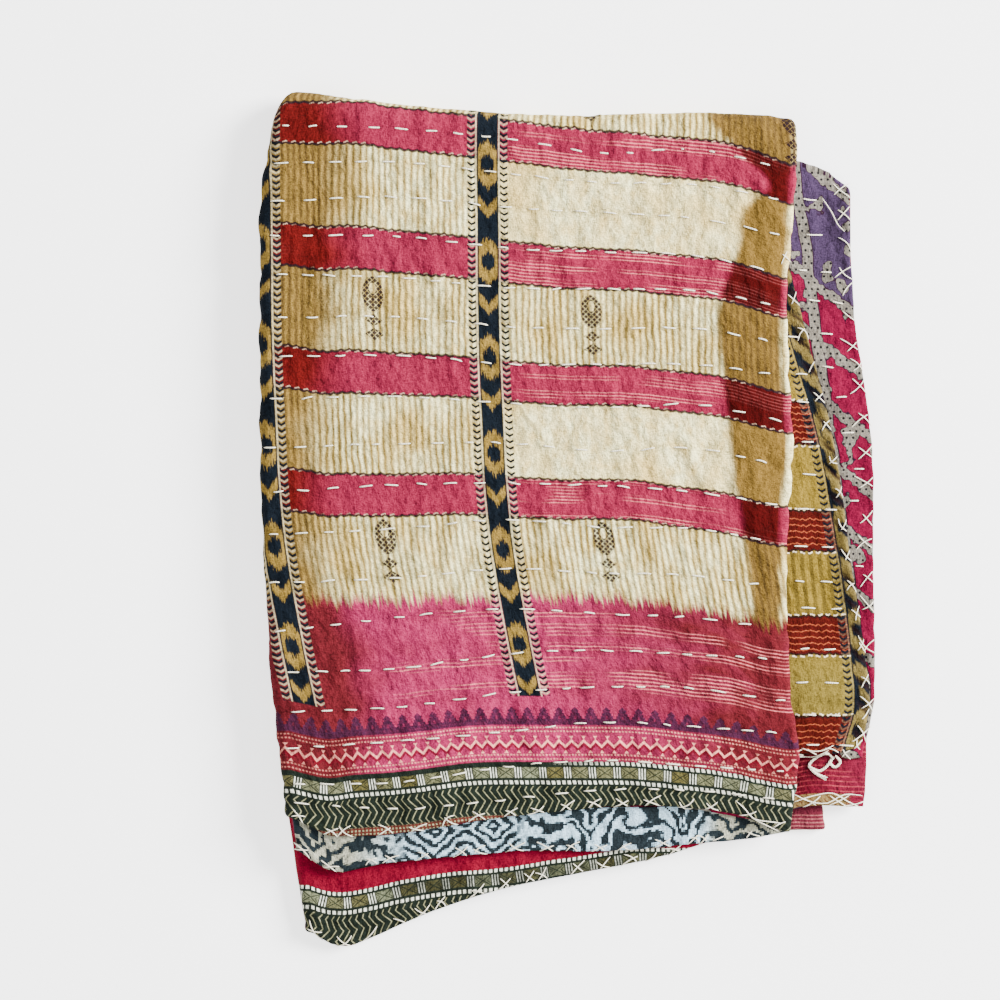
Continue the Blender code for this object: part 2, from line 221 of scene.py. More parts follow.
REAR_WRAP_HEM = table(
    HemStation, (-212, -329), (-202, -336.5), (-187, -344.2), (-154, -335), (-120, -320), (-60, -299.5),
    (14, -284), (68, -274), (114, -259), (160, -240), (186, -232), (236, -232.4),
)
TOP_LINE = table(
    HemStation, (-238, 309), (-217, 308), (-182, 303), (-116, 295.5), (-60, 291), (0, 288.5), (70, 290.5),
    (140, 290), (180, 285), (205, 277), (217, 270), (228, 260),
)
INNER_FLAP = Lane("inner_flap", 5, "flap_edge", INNER_FLAP_HEM, REAR_INNER_FLAP_HEM)
FLAP = Lane("flap", 6, "fold", FLAP_HEM, REAR_FLAP_HEM)
PANEL = Lane("panel", 7, "fold", PANEL_HEM, REAR_PANEL_HEM)
WRAP = Lane("wrap", 4, "wrap_edge", WRAP_HEM, REAR_WRAP_HEM)
LANES = (INNER_FLAP, FLAP, PANEL, WRAP)
TOP_LEVEL = 7


def hem_y(stations: Sequence[HemStation], x: Array) -> Array:
    """Height in Y of a hem, or of the top line, at x."""
    return line_at(stations, "y", x)


@dataclass(frozen=True)
class Folding:
    """Where each layer of the folded quilt lies. Its sizes are those of the CAD solids."""

    quilt_thickness: float = 2.5
    layer_pitch: float = 4.4
    side_sag: float = 55.0
    hem_sag: float = 60.0
    hem_margin: float = 6.0
    side_margin: float = 4.0
    level_end_x: float = 118.0
    top_stretch: float = 1.2
    turn_spread: float = 0.7
    corner_draw: float = 8.0
    corner_draw_length: float = 60.0
    corner_draw_top: float = 312.0
    corner_squeeze: float = 6.0
    left_fold_x: float = -247.3
    left_swing: float = 36.0
    swing_top: float = 60.0
    swing_bottom: float = -333.0
    swing_power: float = 1.9
    rear_flap_inset: float = 12.0
    puff: float = 2.4
    puff_length: float = 260.0
    puff_width: float = 190.0
    puff_margin: float = 70.0
    puff_floor: float = 0.3
    puff_slant: float = 0.35
    puff_lean: float = -0.2

    def left_fold(self, y: Array) -> Array:
        """X of the left fold: x0 + swing t^power, t from 0 at swing_top to 1 at the lowest hem, and a draw."""
        t = np.clip((self.swing_top - y) / (self.swing_top - self.swing_bottom), 0.0, None)
        draw = smooth_step((y - self.corner_draw_top) / self.corner_draw_length + 1)
        return self.left_fold_x + self.left_swing * t**self.swing_power + self.corner_draw * draw

    def right_side(self, name: str, y: Array, rear: Array | float) -> Array:
        """X of the right fold or a free edge at y.

        Args:
            name: "fold", "flap_edge" or "wrap_edge".
            y: Heights in Y.
            rear: 0 on the front half, 1 on the rear one, and a blend between them.

        Returns:
            X for each y.
        """
        if name == "flap_edge":
            top = SIDE_STATIONS[0].y
            fall = smooth_step((top - y) / (top - self.swing_bottom))
            return line_at(SIDE_STATIONS, name, y) - self.rear_flap_inset * rear * fall
        fields = ("front_fold", "rear_fold") if name == "fold" else ("wrap_edge", "rear_wrap_edge")
        front, behind = (line_at(SIDE_STATIONS, field, y) for field in fields)
        return front + (behind - front) * rear

    def presence(self, lane: Lane, rear: int, x: Array, y: Array) -> Array:
        """1 where a lane's layer lies, falling to 0 past its right side and past its hem."""
        beyond_side = (x - self.right_side(lane.right, y, rear) - self.side_margin) / self.side_sag
        beyond_hem = (hem_y(lane.rear_hem if rear else lane.hem, x) - y) / self.hem_sag
        return (1 - smooth_step(beyond_side)) * (1 - smooth_step(beyond_hem))

    def swelling(self, x: Array, y: Array) -> Array:
        """Soft swellings of the panel: a floor plus cos^2 along two slanting directions, less at the edges."""
        across = np.cos(np.pi * (x + self.puff_slant * y) / self.puff_length) ** 2
        along = np.cos(np.pi * (y + self.puff_lean * x) / self.puff_width) ** 2
        side = smooth_step((self.level_end_x - np.abs(x)) / self.puff_margin + 1)
        ends = smooth_step((SIDE_STATIONS[1].y - y) / self.puff_margin) * smooth_step(
            (y - SIDE_STATIONS[-2].y) / self.puff_margin + 1
        )
        return self.puff * (self.puff_floor + (1 - self.puff_floor) * across * along) * side * ends

    def layer_heights(self, x: Array, y: Array) -> list[Array]:
        """Z of the middle of all eight layers, each a pitch higher where the one beneath is present."""
        by_level = {lane.level: lane for lane in LANES}
        z = np.full(np.broadcast(x, y).shape, self.quilt_thickness / 2)
        heights = [z]
        for level in range(TOP_LEVEL):
            rear = level < TOP_LEVEL / 2
            lane = by_level[TOP_LEVEL - level if rear else level]
            z = z + self.layer_pitch * self.presence(lane, int(rear), x, y)
            heights.append(z)
        heights[TOP_LEVEL] = z + self.swelling(x, y)
        return heights

    def top_reach(self, level: int) -> float:
        """How far a layer reaches past the top line in Y: the outer ones reach furthest."""
        innermost, outermost = 0.5, TOP_LEVEL / 2
        steps_out = level - TOP_LEVEL / 2
        stretch = self.top_stretch * (steps_out - innermost) / (outermost - innermost)
        return self.layer_pitch * steps_out * (1 + stretch)

    def placed(self, heights: list[Array], level: int, y: Array, angle: Array) -> tuple[Array, Array]:
        """Y and Z of a layer on the front (angle 0), over the top or on the rear (pi).

        They are y + reach sin(angle), and the mean height plus half the difference times cos(angle).
        """
        upper, lower = heights[level], heights[TOP_LEVEL - level]
        z = (upper + lower) / 2 + (upper - lower) / 2 * np.cos(angle)
        return y + self.top_reach(level) * np.sin(angle), z

    def turn_radius(self, heights: list[Array], level: int, other: int, y: Array, angle: Array) -> Array:
        """How far a side turn reaches in X: half of the gap that it bridges, and less over the top fold."""
        first, second = self.placed(heights, level, y, angle), self.placed(heights, other, y, angle)
        half_gap = np.hypot(first[0] - second[0], first[1] - second[1]) / 2
        front = np.abs(heights[level] - heights[other]) / 2
        rear = np.abs(heights[TOP_LEVEL - level] - heights[TOP_LEVEL - other]) / 2
        half_height = (front + rear) / 2 + (front - rear) / 2 * np.cos(angle)
        return half_height + self.turn_spread * (half_gap - half_height)

    def left_centre(self, y: Array, angle: Array) -> Array:
        """X of the line that both left turns go round, so that the outer one reaches the outline."""
        outline = self.left_fold(y) + self.corner_squeeze * np.sin(angle) ** 2
        reach = self.turn_radius(self.layer_heights(outline, y), PANEL.level, WRAP.level, y, angle)
        return outline + reach + self.quilt_thickness / 2

    def right_centre(self, lane: Lane, y: Array, angle: Array) -> Array:
        """X where a lane ends on the right: its free edge, or the line that the right turn goes round."""
        outline = self.right_side(lane.right, y, smooth_step(2 * angle / np.pi - 1))
        if lane.right != "fold":
            return outline
        reach = self.turn_radius(self.layer_heights(outline, y), PANEL.level, FLAP.level, y, angle)
        return outline - reach - self.quilt_thickness / 2

    def step_line(self, x: Array, rear: bool) -> Array:
        """Y of the line just above the highest hem at x: from there up the layers keep in step."""
        hems = [hem_y(lane.rear_hem if rear else lane.hem, x) for lane in LANES]
        return np.max(hems, axis=0) + self.hem_margin


# ---- quilting and creases


class StitchRow(NamedTuple):
    """Y of a row of running stitches where it crosses each of ROW_STATIONS."""

    far_left: float
    left: float
    left_middle: float
    right_middle: float
    right: float
    far_right: float


ROW_STATIONS = (-231.6, -135.6, -47.6, 24.4, 104.4, 168.4)
STITCH_ROWS = table(
    StitchRow, (314.4, 312, 303.6, 292.4, 295, 280.8), (284.4, 285, 275.8, 268.8, 266.6, 255.2),
    (253.8, 257.2, 249, 244.8, 239.6, 227.2), (226.4, 225.5, 216.1, 213.2, 209.8, 196),
    (195.3, 192.6, 184.4, 183.4, 181.8, 169.6), (160.9, 161, 153.2, 151.6, 151.7, 140.4),
    (129.6, 130.3, 123.4, 123.4, 122.8, 114.6), (95.9, 97.6, 92, 88.4, 91, 78),
    (56.8, 59.9, 60.2, 54, 55.8, 42), (21.6, 27.1, 28.4, 26.3, 20.6, 10.8),
    (-12.6, -7.8, -0.8, -6.8, -8.6, -20), (-51.4, -47.4, -39.9, -43.6, -46.2, -55.6),
    (-90.4, -78.8, -72.2, -76, -79.8, -88.8), (-123.2, -119.8, -108, -105.4, -109.2, -112.4),
    (-154.8, -150.6, -139, -134.5, -136.4, -145.8), (-184.4, -178, -170, -162.8, -166.8, -171.6),
    (-212.4, -210.8, -198, -193.4, -198, -202), (-226.8, -232, -224.4, -217.2, -218, -225.2),
)


class Crease(NamedTuple):
    """A soft trough (height below 0) or ridge along a line. Its right side falls sharp times steeper."""

    x: float
    y: float
    end_x: float
    end_y: float
    width: float
    height: float
    sharp: float


CREASES = table(
    Crease, (116, 314, 140, 287, 15, 1.9, 4), (140, 287, 159, 258, 13, 1.7, 4),
    (107, 292, 104, 240, 7, -1.3, 2), (31, 311, 29, 284, 6, -1.1, 1), (62, 299, 56, 280, 6, -0.9, 1),
    (70, 297, 64, 318, 7, -1.1, 1), (-10, 302, -26, 318, 8, -0.8, 1), (20, 330, 34, 306, 6, 1.1, 2),
    (88, 326, 80, 300, 7, -1.2, 1), (112, 324, 128, 304, 6, 1.2, 2), (-40, 330, 6, 316, 6, 0.9, 1),
    (150, 318, 172, 296, 7, 1, 1), (-200, -126, -84, -125, 5, -0.7, 1), (-84, -125, 60, -128, 5, -0.8, 1),
    (60, -128, 174, -132, 6, -0.5, 1), (32, -60, 44, -150, 10, -1, 1), (18, -72, 8, -130, 9, -0.6, 1),
    (118, -96, 126, -190, 16, 1.3, 2), (-60, -118, -58, -176, 12, -0.9, 1),
    (-160, -118, -108, -140, 14, -0.8, 1), (-96, 236, -134, 204, 12, 0.8, 1),
    (-148, 262, -128, 204, 10, -0.6, 1), (-126, 206, -100, 150, 9, -0.5, 1), (-70, 6, -40, -34, 9, -0.5, 1),
    (74, 178, 90, 122, 9, -0.6, 1), (58, 60, 64, 12, 9, -0.6, 1), (20, 44, 14, 4, 8, 0.5, 1),
    (104, 52, 100, -14, 8, -0.5, 1), (-8, -150, 6, -206, 9, -0.6, 1), (150, -24, 120, -62, 10, 0.6, 1),
    (-205, -196, -150, -214, 9, -0.5, 1),
)


@dataclass(frozen=True)
class Quilting:
    """The relief that stitching, hand and use leave in the cloth, in millimetres."""

    row_depth: float = 0.8
    swell: float = 0.9
    row_pitch: float = 32.0
    stitch_pitch: float = 24.0
    pinch: float = 0.75
    pinch_reach: float = 7.0
    pucker: float = 2.1
    fine_pucker: float = 0.7
    hollow_reach: float = 3.4
    crease_gain: float = 1.4
    crease_end: float = 0.25  # the share of a crease over which it dies away
    roll: float = 0.55
    roll_place: float = 3.2
    roll_width: float = 2.6
    hem_dip: float = 0.5
    rim_radius: float = 1.7
    scallop: float = 0.8
    scallop_pitch: float = 23.0
    scallop_reach: float = 9.0

    def row_y(self, number: int, x: Array) -> Array:
        """Y of a row of stitches at x."""
        return curve_through(ROW_STATIONS, STITCH_ROWS[number], x)

    def row_phase(self, x: Array, y: Array) -> Array:
        """How many rows lie above (x, y), counted smoothly: a whole number on each row."""
        above = self.row_y(0, x)
        phase = -np.maximum(y - above, 0.0) / self.row_pitch
        for number in range(1, len(STITCH_ROWS)):
            below = self.row_y(number, x)
            phase = phase + np.clip((above - y) / (above - below), 0.0, 1.0)
            above = below
        return phase + np.maximum(above - y, 0.0) / self.row_pitch

    def rows(self, x: Array, y: Array) -> Array:
        """-depth on a row, +swell between two: |sin(pi phase)|^0.7, with pinches where the stitches enter."""
        phase = self.row_phase(x, y)
        pillow = np.abs(np.sin(np.pi * phase)) ** 0.7
        nearest = np.round(phase)
        beside = (phase - nearest) * self.row_pitch / self.pinch_reach
        ripple = np.cos(2 * np.pi * (x / self.stitch_pitch + 0.37 * nearest)) * np.exp(-(beside**2))
        return -self.row_depth + (self.row_depth + self.swell) * pillow + self.pinch * ripple

    def row_hollow_shade(self, x: Array, y: Array) -> Array:
        """How much shade is painted along a row of stitches: 1 on the row, where the cloth is drawn in, and 0
        away from it.
        """
        phase = self.row_phase(x, y)
        beside = (phase - np.round(phase)) * self.row_pitch
        return np.exp(-((beside / self.hollow_reach) ** 2))

    def puckers(self, x: Array, y: Array, seed: int) -> Array:
        """Uneven swellings and fine wrinkles, as three layers of soft noise."""
        broad = soft_noise(x + 0.3 * y, y, (26.0, 38.0), seed)
        upright = soft_noise(x + 0.1 * y, y, (9.0, 30.0), seed + 1)
        fine = soft_noise(x, y, (5.5, 7.0), seed + 2)
        return self.pucker * (0.45 * broad + 0.55 * upright) + self.fine_pucker * fine

    def creases(self, x: Array, y: Array) -> Array:
        """The sum of height exp(-(d / width)^2) over the lines, d being the distance beside each."""
        total = np.zeros(np.broadcast(x, y).shape)
        for crease in CREASES:
            dx, dy = crease.end_x - crease.x, crease.end_y - crease.y
            length = np.hypot(dx, dy)
            along = ((x - crease.x) * dx + (y - crease.y) * dy) / length**2
            aside = ((x - crease.x) * dy - (y - crease.y) * dx) / length
            right_way = np.sign(dy) if abs(dy) > abs(dx) / 4 else 1.0
            aside = np.where(aside * right_way > 0, aside * crease.sharp, aside)
            ends = smooth_step(along / self.crease_end + 0.5) * smooth_step((1 - along) / self.crease_end + 0.5)
            profile = np.exp(-((aside / crease.width * 2) ** 2))
            total = total + self.crease_gain * crease.height * profile * ends
        return total

    def rim(self, distance: Array) -> Array:
        """The rounded rim of a folded edge: sqrt(1 - (1 - d/r)^2), 1 from the radius inwards."""
        t = np.clip(distance / self.rim_radius, 0.0, 1.0)
        return np.sqrt(1 - (1 - t) ** 2)

    def hem(self, distance: Array) -> Array:
        """The hem's roll of folded-in cloth and the dip where its stitches hold it."""
        roll = self.roll * np.exp(-(((distance - self.roll_place) / self.roll_width) ** 2))
        dip = self.hem_dip * np.exp(-(((distance - 3 * self.roll_place) / self.roll_width) ** 2))
        return roll - dip

    def scallops(self, along: Array, distance: Array, seed: int) -> Array:
        """How far the edge stands out between its cross stitches, fading inwards."""
        uneven = soft_noise(along, along * 0, (31.0, 1.0), seed)
        wave = np.abs(np.sin(np.pi * (along / self.scallop_pitch + 0.25 * uneven)))
        fading = np.exp(-np.maximum(distance, 0.0) / self.scallop_reach)
        return self.scallop * (wave - 0.5 + 0.5 * uneven) * fading


# ---- the grid of the cloths


@dataclass(frozen=True)
class Strip:
    """The grid's columns in one lane, or in the turn from one lane into the next.

    along is 0 at the left fold, 1 at level_end_x and 2 at the right side or the band before a free
    edge. edge is the distance covered in that band, and turn the angle turned.
    """

    lane: Lane
    following: Lane
    along: Array
    edge: Array
    turn: Array


@dataclass(frozen=True)
class GridLines:
    """The grid's lines, from the front hem over the top to the rear hem.

    band is the distance from the hem in its band, share is 0 there, 1 at the step line and 2 at the
    top line, and angle 0 on the front and pi on the rear.
    """

    band: Array
    share: Array
    angle: Array


class Zone(Enum):
    """The part of a cloth that a quad lies in, for its print."""

    FIELD = 0
    INNER_FLAP = 1
    FLAP = 2
    BORDER_END = 3
    CRIMSON_END = 4
    BORDER = 5


@dataclass(frozen=True)
class ClothGrid:
    """The middle surface of the quilt as a fine grid, with what its prints and relief need."""

    folding: Folding = Folding()
    quilting: Quilting = Quilting()
    panel_steps: tuple[int, int] = (128, 20)
    flap_steps: tuple[int, int] = (50, 9)
    inner_flap_steps: tuple[int, int] = (10, 28)
    wrap_steps: tuple[int, int] = (50, 34)
    turn_steps: tuple[int, int, int] = (6, 8, 10)
    front_lines: int = 148
    hem_lines: int = 9
    bend_lines: int = 14
    rear_lines: int = 30
    band: tuple[float, ...] = (0.0, 0.12, 0.45, 1.0, 1.8, 3.2, 4.8)
    settling_rounds: int = 12

    def strips(self) -> list[Strip]:
        """The grid's columns, lane by lane and turn by turn, from the inner flap's edge to the wrap's."""
        steps = (self.inner_flap_steps, self.flap_steps, self.panel_steps, self.wrap_steps)
        band = np.array(self.band)
        found = []
        for number, (lane, (level, side)) in enumerate(zip(LANES, steps)):
            along = join([np.arange(level) / level, 1 + np.arange(side + 1) / side])
            edge = np.zeros(len(along))
            if lane.right != "fold":
                along = join([along, np.full(len(band), 2.0)])
                edge = join([edge, self.band_width - band[::-1]])
                keep = join([np.ones(level + side, bool), [False], np.ones(len(band), bool)])
                along, edge = along[keep], edge[keep]
            if number % 2 == 0:
                along, edge = along[::-1], edge[::-1]
            found.append(Strip(lane, lane, along, edge, np.zeros(len(along))))
            if number + 1 < len(LANES):
                count = self.turn_steps[number]
                turn = np.pi * np.arange(1, count) / count
                place = np.full(count - 1, 0.0 if number % 2 == 0 else 2.0)
                found.append(Strip(lane, LANES[number + 1], place, np.zeros(count - 1), turn))
        return found

    @property
    def band_width(self) -> float:
        """Width of the band of close columns or lines along a free edge or a hem."""
        return self.band[-1]

    def lines(self) -> GridLines:
        """The grid's lines: hem band, front, bend, rear and rear hem band."""
        band = np.array(self.band)[:-1]
        hem = np.arange(self.hem_lines) / self.hem_lines
        front = join([hem, 1 + np.arange(self.front_lines) / self.front_lines])
        rear = join([hem, 1 + np.arange(self.rear_lines) / self.rear_lines])[::-1]
        bend = np.pi * np.arange(self.bend_lines + 1) / self.bend_lines
        count = (len(band), len(front), len(bend), len(rear), len(band))
        full = self.band_width
        return GridLines(
            band=join([band, np.full(count[1] + count[2] + count[3], full), band[::-1]]),
            share=join([np.zeros(count[0]), front, np.full(count[2], 2.0), rear, np.zeros(count[4])]),
            angle=join([np.zeros(count[0] + count[1]), bend, np.full(count[3] + count[4], np.pi)]),
        )

    def settle(self, strip: Strip, lines: GridLines) -> dict[str, Array]:
        """Finds where a strip's columns cross the lines, in rounds, as X and Y depend on each other.

        x = left + (inner - left) min(along, 1) + (right - inner) max(along - 1, 0), and
        y = hem + band + (step - hem) share, and on to the top line.

        Args:
            strip: The columns.
            lines: The lines.

        Returns:
            x, y and the distances to the own hem and free edge, each columns by lines.
        """
        folding, quilting = self.folding, self.quilting
        along, edge, mix = strip.along[:, None], strip.edge[:, None], strip.turn[:, None] / np.pi
        angle, share, band = lines.angle[None], lines.share[None], lines.band[None]
        rear = np.broadcast_to(angle > np.pi / 2, (len(strip.along), len(lines.angle)))
        free = strip.lane.right != "fold"
        y = np.zeros(rear.shape)
        for _ in range(self.settling_rounds):
            left = folding.left_centre(y, angle)
            side = folding.right_centre(strip.lane, y, angle)
            right = side - self.band_width if free else side
            inner = np.minimum(folding.level_end_x, right)
            beyond = np.maximum(along - 1.0, 0.0)
            x = left + (inner - left) * np.minimum(along, 1.0) + (right - inner) * beyond + edge
            hems = [
                np.where(rear, hem_y(lane.rear_hem, x), hem_y(lane.hem, x))
                for lane in (strip.lane, strip.following)
            ]
            hem = (1 - mix) * hems[0] + mix * hems[1]
            step = np.where(rear, folding.step_line(x, True), folding.step_line(x, False))
            top = hem_y(TOP_LINE, x)
            start = hem + band
            rise = np.maximum(step - start, 0.0) * np.minimum(share, 1.0)
            y = start + rise + (top - start - rise) * np.maximum(share - 1.0, 0.0)
        from_hem = y - hem
        from_edge = side - x if free else np.full(x.shape, np.inf)
        seed = strip.lane.level
        y = y - quilting.scallops(x, from_hem, seed)
        if free:
            x = x + quilting.scallops(y, from_edge, seed + 10)
        return {"x": x, "y": y, "from_hem": from_hem, "from_edge": from_edge}

    def place(self, strip: Strip, lines: GridLines, found: dict[str, Array]) -> Array:
        """Points of a strip in space: on its layer, or round the turn between two layers.

        After a turn by t: (x +- r sin t, w y1 + (1 - w) y2, w z1 + (1 - w) z2), with w = (1 + cos t) / 2.

        Args:
            strip: The columns.
            lines: The lines.
            found: What settle() gave.

        Returns:
            Points, columns by lines by 3.
        """
        folding = self.folding
        x, y, angle = found["x"], found["y"], lines.angle[None]
        heights = folding.layer_heights(x, y)
        first = folding.placed(heights, strip.lane.level, y, angle)
        if strip.following is strip.lane:
            return np.stack([x, *first], axis=-1)
        second = folding.placed(heights, strip.following.level, y, angle)
        outwards = -1.0 if strip.along[0] == 0 else 1.0
        reach = folding.turn_radius(heights, strip.lane.level, strip.following.level, y, angle)
        turn = strip.turn[:, None]
        weight = (1 + np.cos(turn)) / 2
        return np.stack(
            [
                x + outwards * reach * np.sin(turn),
                weight * first[0] + (1 - weight) * second[0],
                weight * first[1] + (1 - weight) * second[1],
            ],
            axis=-1,
        )

    def build(self) -> "ClothSurface":
        """The whole middle surface."""
        lines, strips = self.lines(), self.strips()
        found = [self.settle(strip, lines) for strip in strips]
        points = join([self.place(s, lines, f) for s, f in zip(strips, found)])
        joined = {key: join([f[key] for f in found]) for key in found[0]}
        names, halves = [], []
        for strip in strips:
            past_half = strip.turn > np.pi / 2
            names += [(strip.following if past else strip.lane).name for past in past_half]
            halves += (strip.turn > 0).tolist()
        return ClothSurface(self, lines, points, names, np.array(halves), **joined)


@dataclass(frozen=True)
class ClothSurface:
    """The middle surface: its points, and where each lies on the layers, columns by lines."""

    grid: ClothGrid
    lines: GridLines
    points: Array
    lane_names: list[str]
    in_turn: Array
    x: Array
    y: Array
    from_hem: Array
    from_edge: Array

    def normals(self) -> Array:
        """Unit normals to the face cloth's side: the cross product of the grid's two directions."""
        return unit(np.cross(np.gradient(self.points, axis=1), np.gradient(self.points, axis=0)))

    def columns_of(self, lane: Lane) -> Array:
        """True for the columns that carry a lane's print."""
        return np.array([name == lane.name for name in self.lane_names])

    def lane_on(self, lane: Lane, front: bool = True) -> Array:
        """True for the points of a lane on the front half, or on the rear one."""
        return self.columns_of(lane)[:, None] & (self.front() == front)[None]

    def front(self) -> Array:
        """True for the lines of the front half."""
        return self.lines.angle < np.pi / 2


# ---- where the prints lie


class LiftStation(NamedTuple):
    """How far each of LIFT_ROWS runs above a straight copy of the hem at X."""

    x: float
    lifts: tuple[float, ...]


LIFT_ROWS = (55.0, 200.0, 280.0, 420.0, 570.0)
LIFTS = table(
    LiftStation, (-224, (11.5, 14.5, 12.4, 11.6, 14.8)), (-195, (2.4, 2.5, 0.5, 0.5, -0.8)),
    (-170, (-1.2, 0.5, 0.6, -1.6, -1.3)), (-142, (-1.7, 2.2, 1.8, 2.2, 3.8)),
    (-84, (0.2, 9.6, 9.6, 15.5, 19.2)), (-24, (7.1, 17.5, 22.4, 29.9, 34.8)),
    (40, (12.3, 24, 28.2, 37.2, 46.7)), (100, (16, 30.5, 34, 41.3, 50.4)),
    (130, (15.8, 31.5, 34.3, 41.2, 50.2)), (155, (12.3, 29.2, 32.3, 40.3, 49.3)),
    (176, (9.2, 25.5, 28.9, 39, 50.6)),
)


class BandStation(NamedTuple):
    """X of the middle of the left upright band at Y."""

    y: float
    x: float


BANDS = table(
    BandStation, (330, -247.6), (302.8, -247.8), (230.8, -247.2), (150.8, -246.4), (110.8, -245.2),
    (76.4, -243.4), (36.4, -241.6), (-17.2, -236.4), (-43.6, -232.4), (-65.2, -228.6), (-105.2, -221),
    (-145.2, -212.6), (-185, -203.6), (-249, -189),
)

# The topmost row of dots on the border end of the wrap, from which its rows are counted down.
BORDER_END_LINE = table(
    HemStation, (-214, -294.7), (-192, -301.6), (-182.5, -302), (-160.4, -298.6), (-138.2, -293.1),
    (-112.9, -288.4), (-89.2, -285.2), (-65.4, -283.6), (-41.7, -280.7), (-18, -276.6), (4.2, -273.6),
    (50, -266),
)
BORDER_END_RIGHT = 140.0  # the wrap's rear shows its border end left of here and plain crimson beyond


class SunlitEdge(NamedTuple):
    """X where the middle of the front panel, painted as sunlit, ends at Y on the left and on the right; beyond
    it shade is painted.
    """

    y: float
    left: float
    right: float


SUNLIT_EDGES = table(
    SunlitEdge, (318, -178, 112), (306, -176, 120), (291, -174, 136), (262, -176, 157), (254, -176, 146),
    (214.8, -178, 134.8), (182.8, -180, 122), (150.8, -184, 117.2), (114.8, -192, 122), (70.8, -200, 126.8),
    (22.8, -196, 132.4), (-21, -194, 140.4), (-65, -182, 146), (-97, -164, 142), (-145, -158, 150),
    (-193, -158, 146),
)


def slope_of(stations: Sequence[HemStation], x: Array, reach: float = 14.0) -> Array:
    """The mean slope of a line around x: its rise over twice the reach."""
    return (hem_y(stations, x + reach) - hem_y(stations, x - reach)) / (2 * reach)


@dataclass(frozen=True)
class FieldPrint:
    """The coordinates of the field's print: u across from the left band's middle, v up from the hem."""

    rounds: int = 5
    left_softness: float = 50.0
    rim_highlight_width: float = 7.0
    rim_highlight_softness: float = 5.0
    right_softness: float = 7.0

    def lift(self, x: Array, v: Array) -> Array:
        """How far row v runs above a copy of the hem at x, blended between the rows of LIFTS."""
        xs = [s.x for s in LIFTS]
        curves = [curve_through(xs, [s.lifts[k] for s in LIFTS], x) for k in range(len(LIFT_ROWS))]
        lift = curves[0]
        for low, high, under, over in zip(LIFT_ROWS, LIFT_ROWS[1:], curves, curves[1:]):
            lift = lift + (over - under) * np.clip((v - low) / (high - low), 0, 1)
        return lift

    def band(self, y: Array) -> Array:
        """X of the middle of the left band at y."""
        return line_at(BANDS, "x", y)

    def row_lean(self, x: Array, y: Array, v: float = 45.0, reach: float = 14.0) -> Array:
        """How far upright lines lean from those of equal u: the rows' slope and part of the band's."""
        lifted = self.lift(x + reach, np.full(x.shape, v)) - self.lift(x - reach, np.full(x.shape, v))
        band_slope = (self.band(y + reach) - self.band(y - reach)) / (2 * reach)
        return slope_of(PANEL_HEM, x, reach) - lifted / (2 * reach) + 0.6 * band_slope

    def coordinates(self, x: Array, y: Array) -> tuple[Array, Array]:
        """u and v at points of the front panel: v = y - hem + lift(x, v), u = x - band(y)."""
        v = y - hem_y(PANEL_HEM, x)
        for _ in range(self.rounds):
            v = y - hem_y(PANEL_HEM, x) + self.lift(x, v)
        return x - self.band(y), v

    def painted_shade_at(self, folding: Folding, x: Array, y: Array) -> Array:
        """Painted shade: 1 towards the sides, where shade is painted; 0 in the middle, where sunlight is
        painted, and on the right fold's rim, where a highlight is painted.
        """
        left, right = line_at(SUNLIT_EDGES, "left", y), line_at(SUNLIT_EDGES, "right", y)
        uneven = 7.0 * soft_noise(x, y, (24.0, 15.0), 71)
        on_left = smooth_step((left - x + uneven) / self.left_softness + 0.5)
        on_right = smooth_step((x - right + 0.2 * uneven) / self.right_softness + 0.5)
        # Painted highlight: next to the right fold's edge the cloth takes the sunlit colours, as a lit rim.
        rim = folding.right_side("fold", y, 0.0) - self.rim_highlight_width
        on_right = on_right * (1 - smooth_step((x - rim + 0.3 * uneven) / self.rim_highlight_softness))
        return np.maximum(on_left, on_right)


# ---- cloth meshes


def linked(name: str, data: bpy.types.ID) -> Object:
    """A new object of that data in the scene."""
    thing = bpy.data.objects.new(name, data)
    bpy.context.scene.collection.objects.link(thing)
    return thing


def tables_to_metres(points: Array) -> Array:
    """Points of the tables' frame as metres from the model's origin."""
    return (points - MIDDLE) * MM


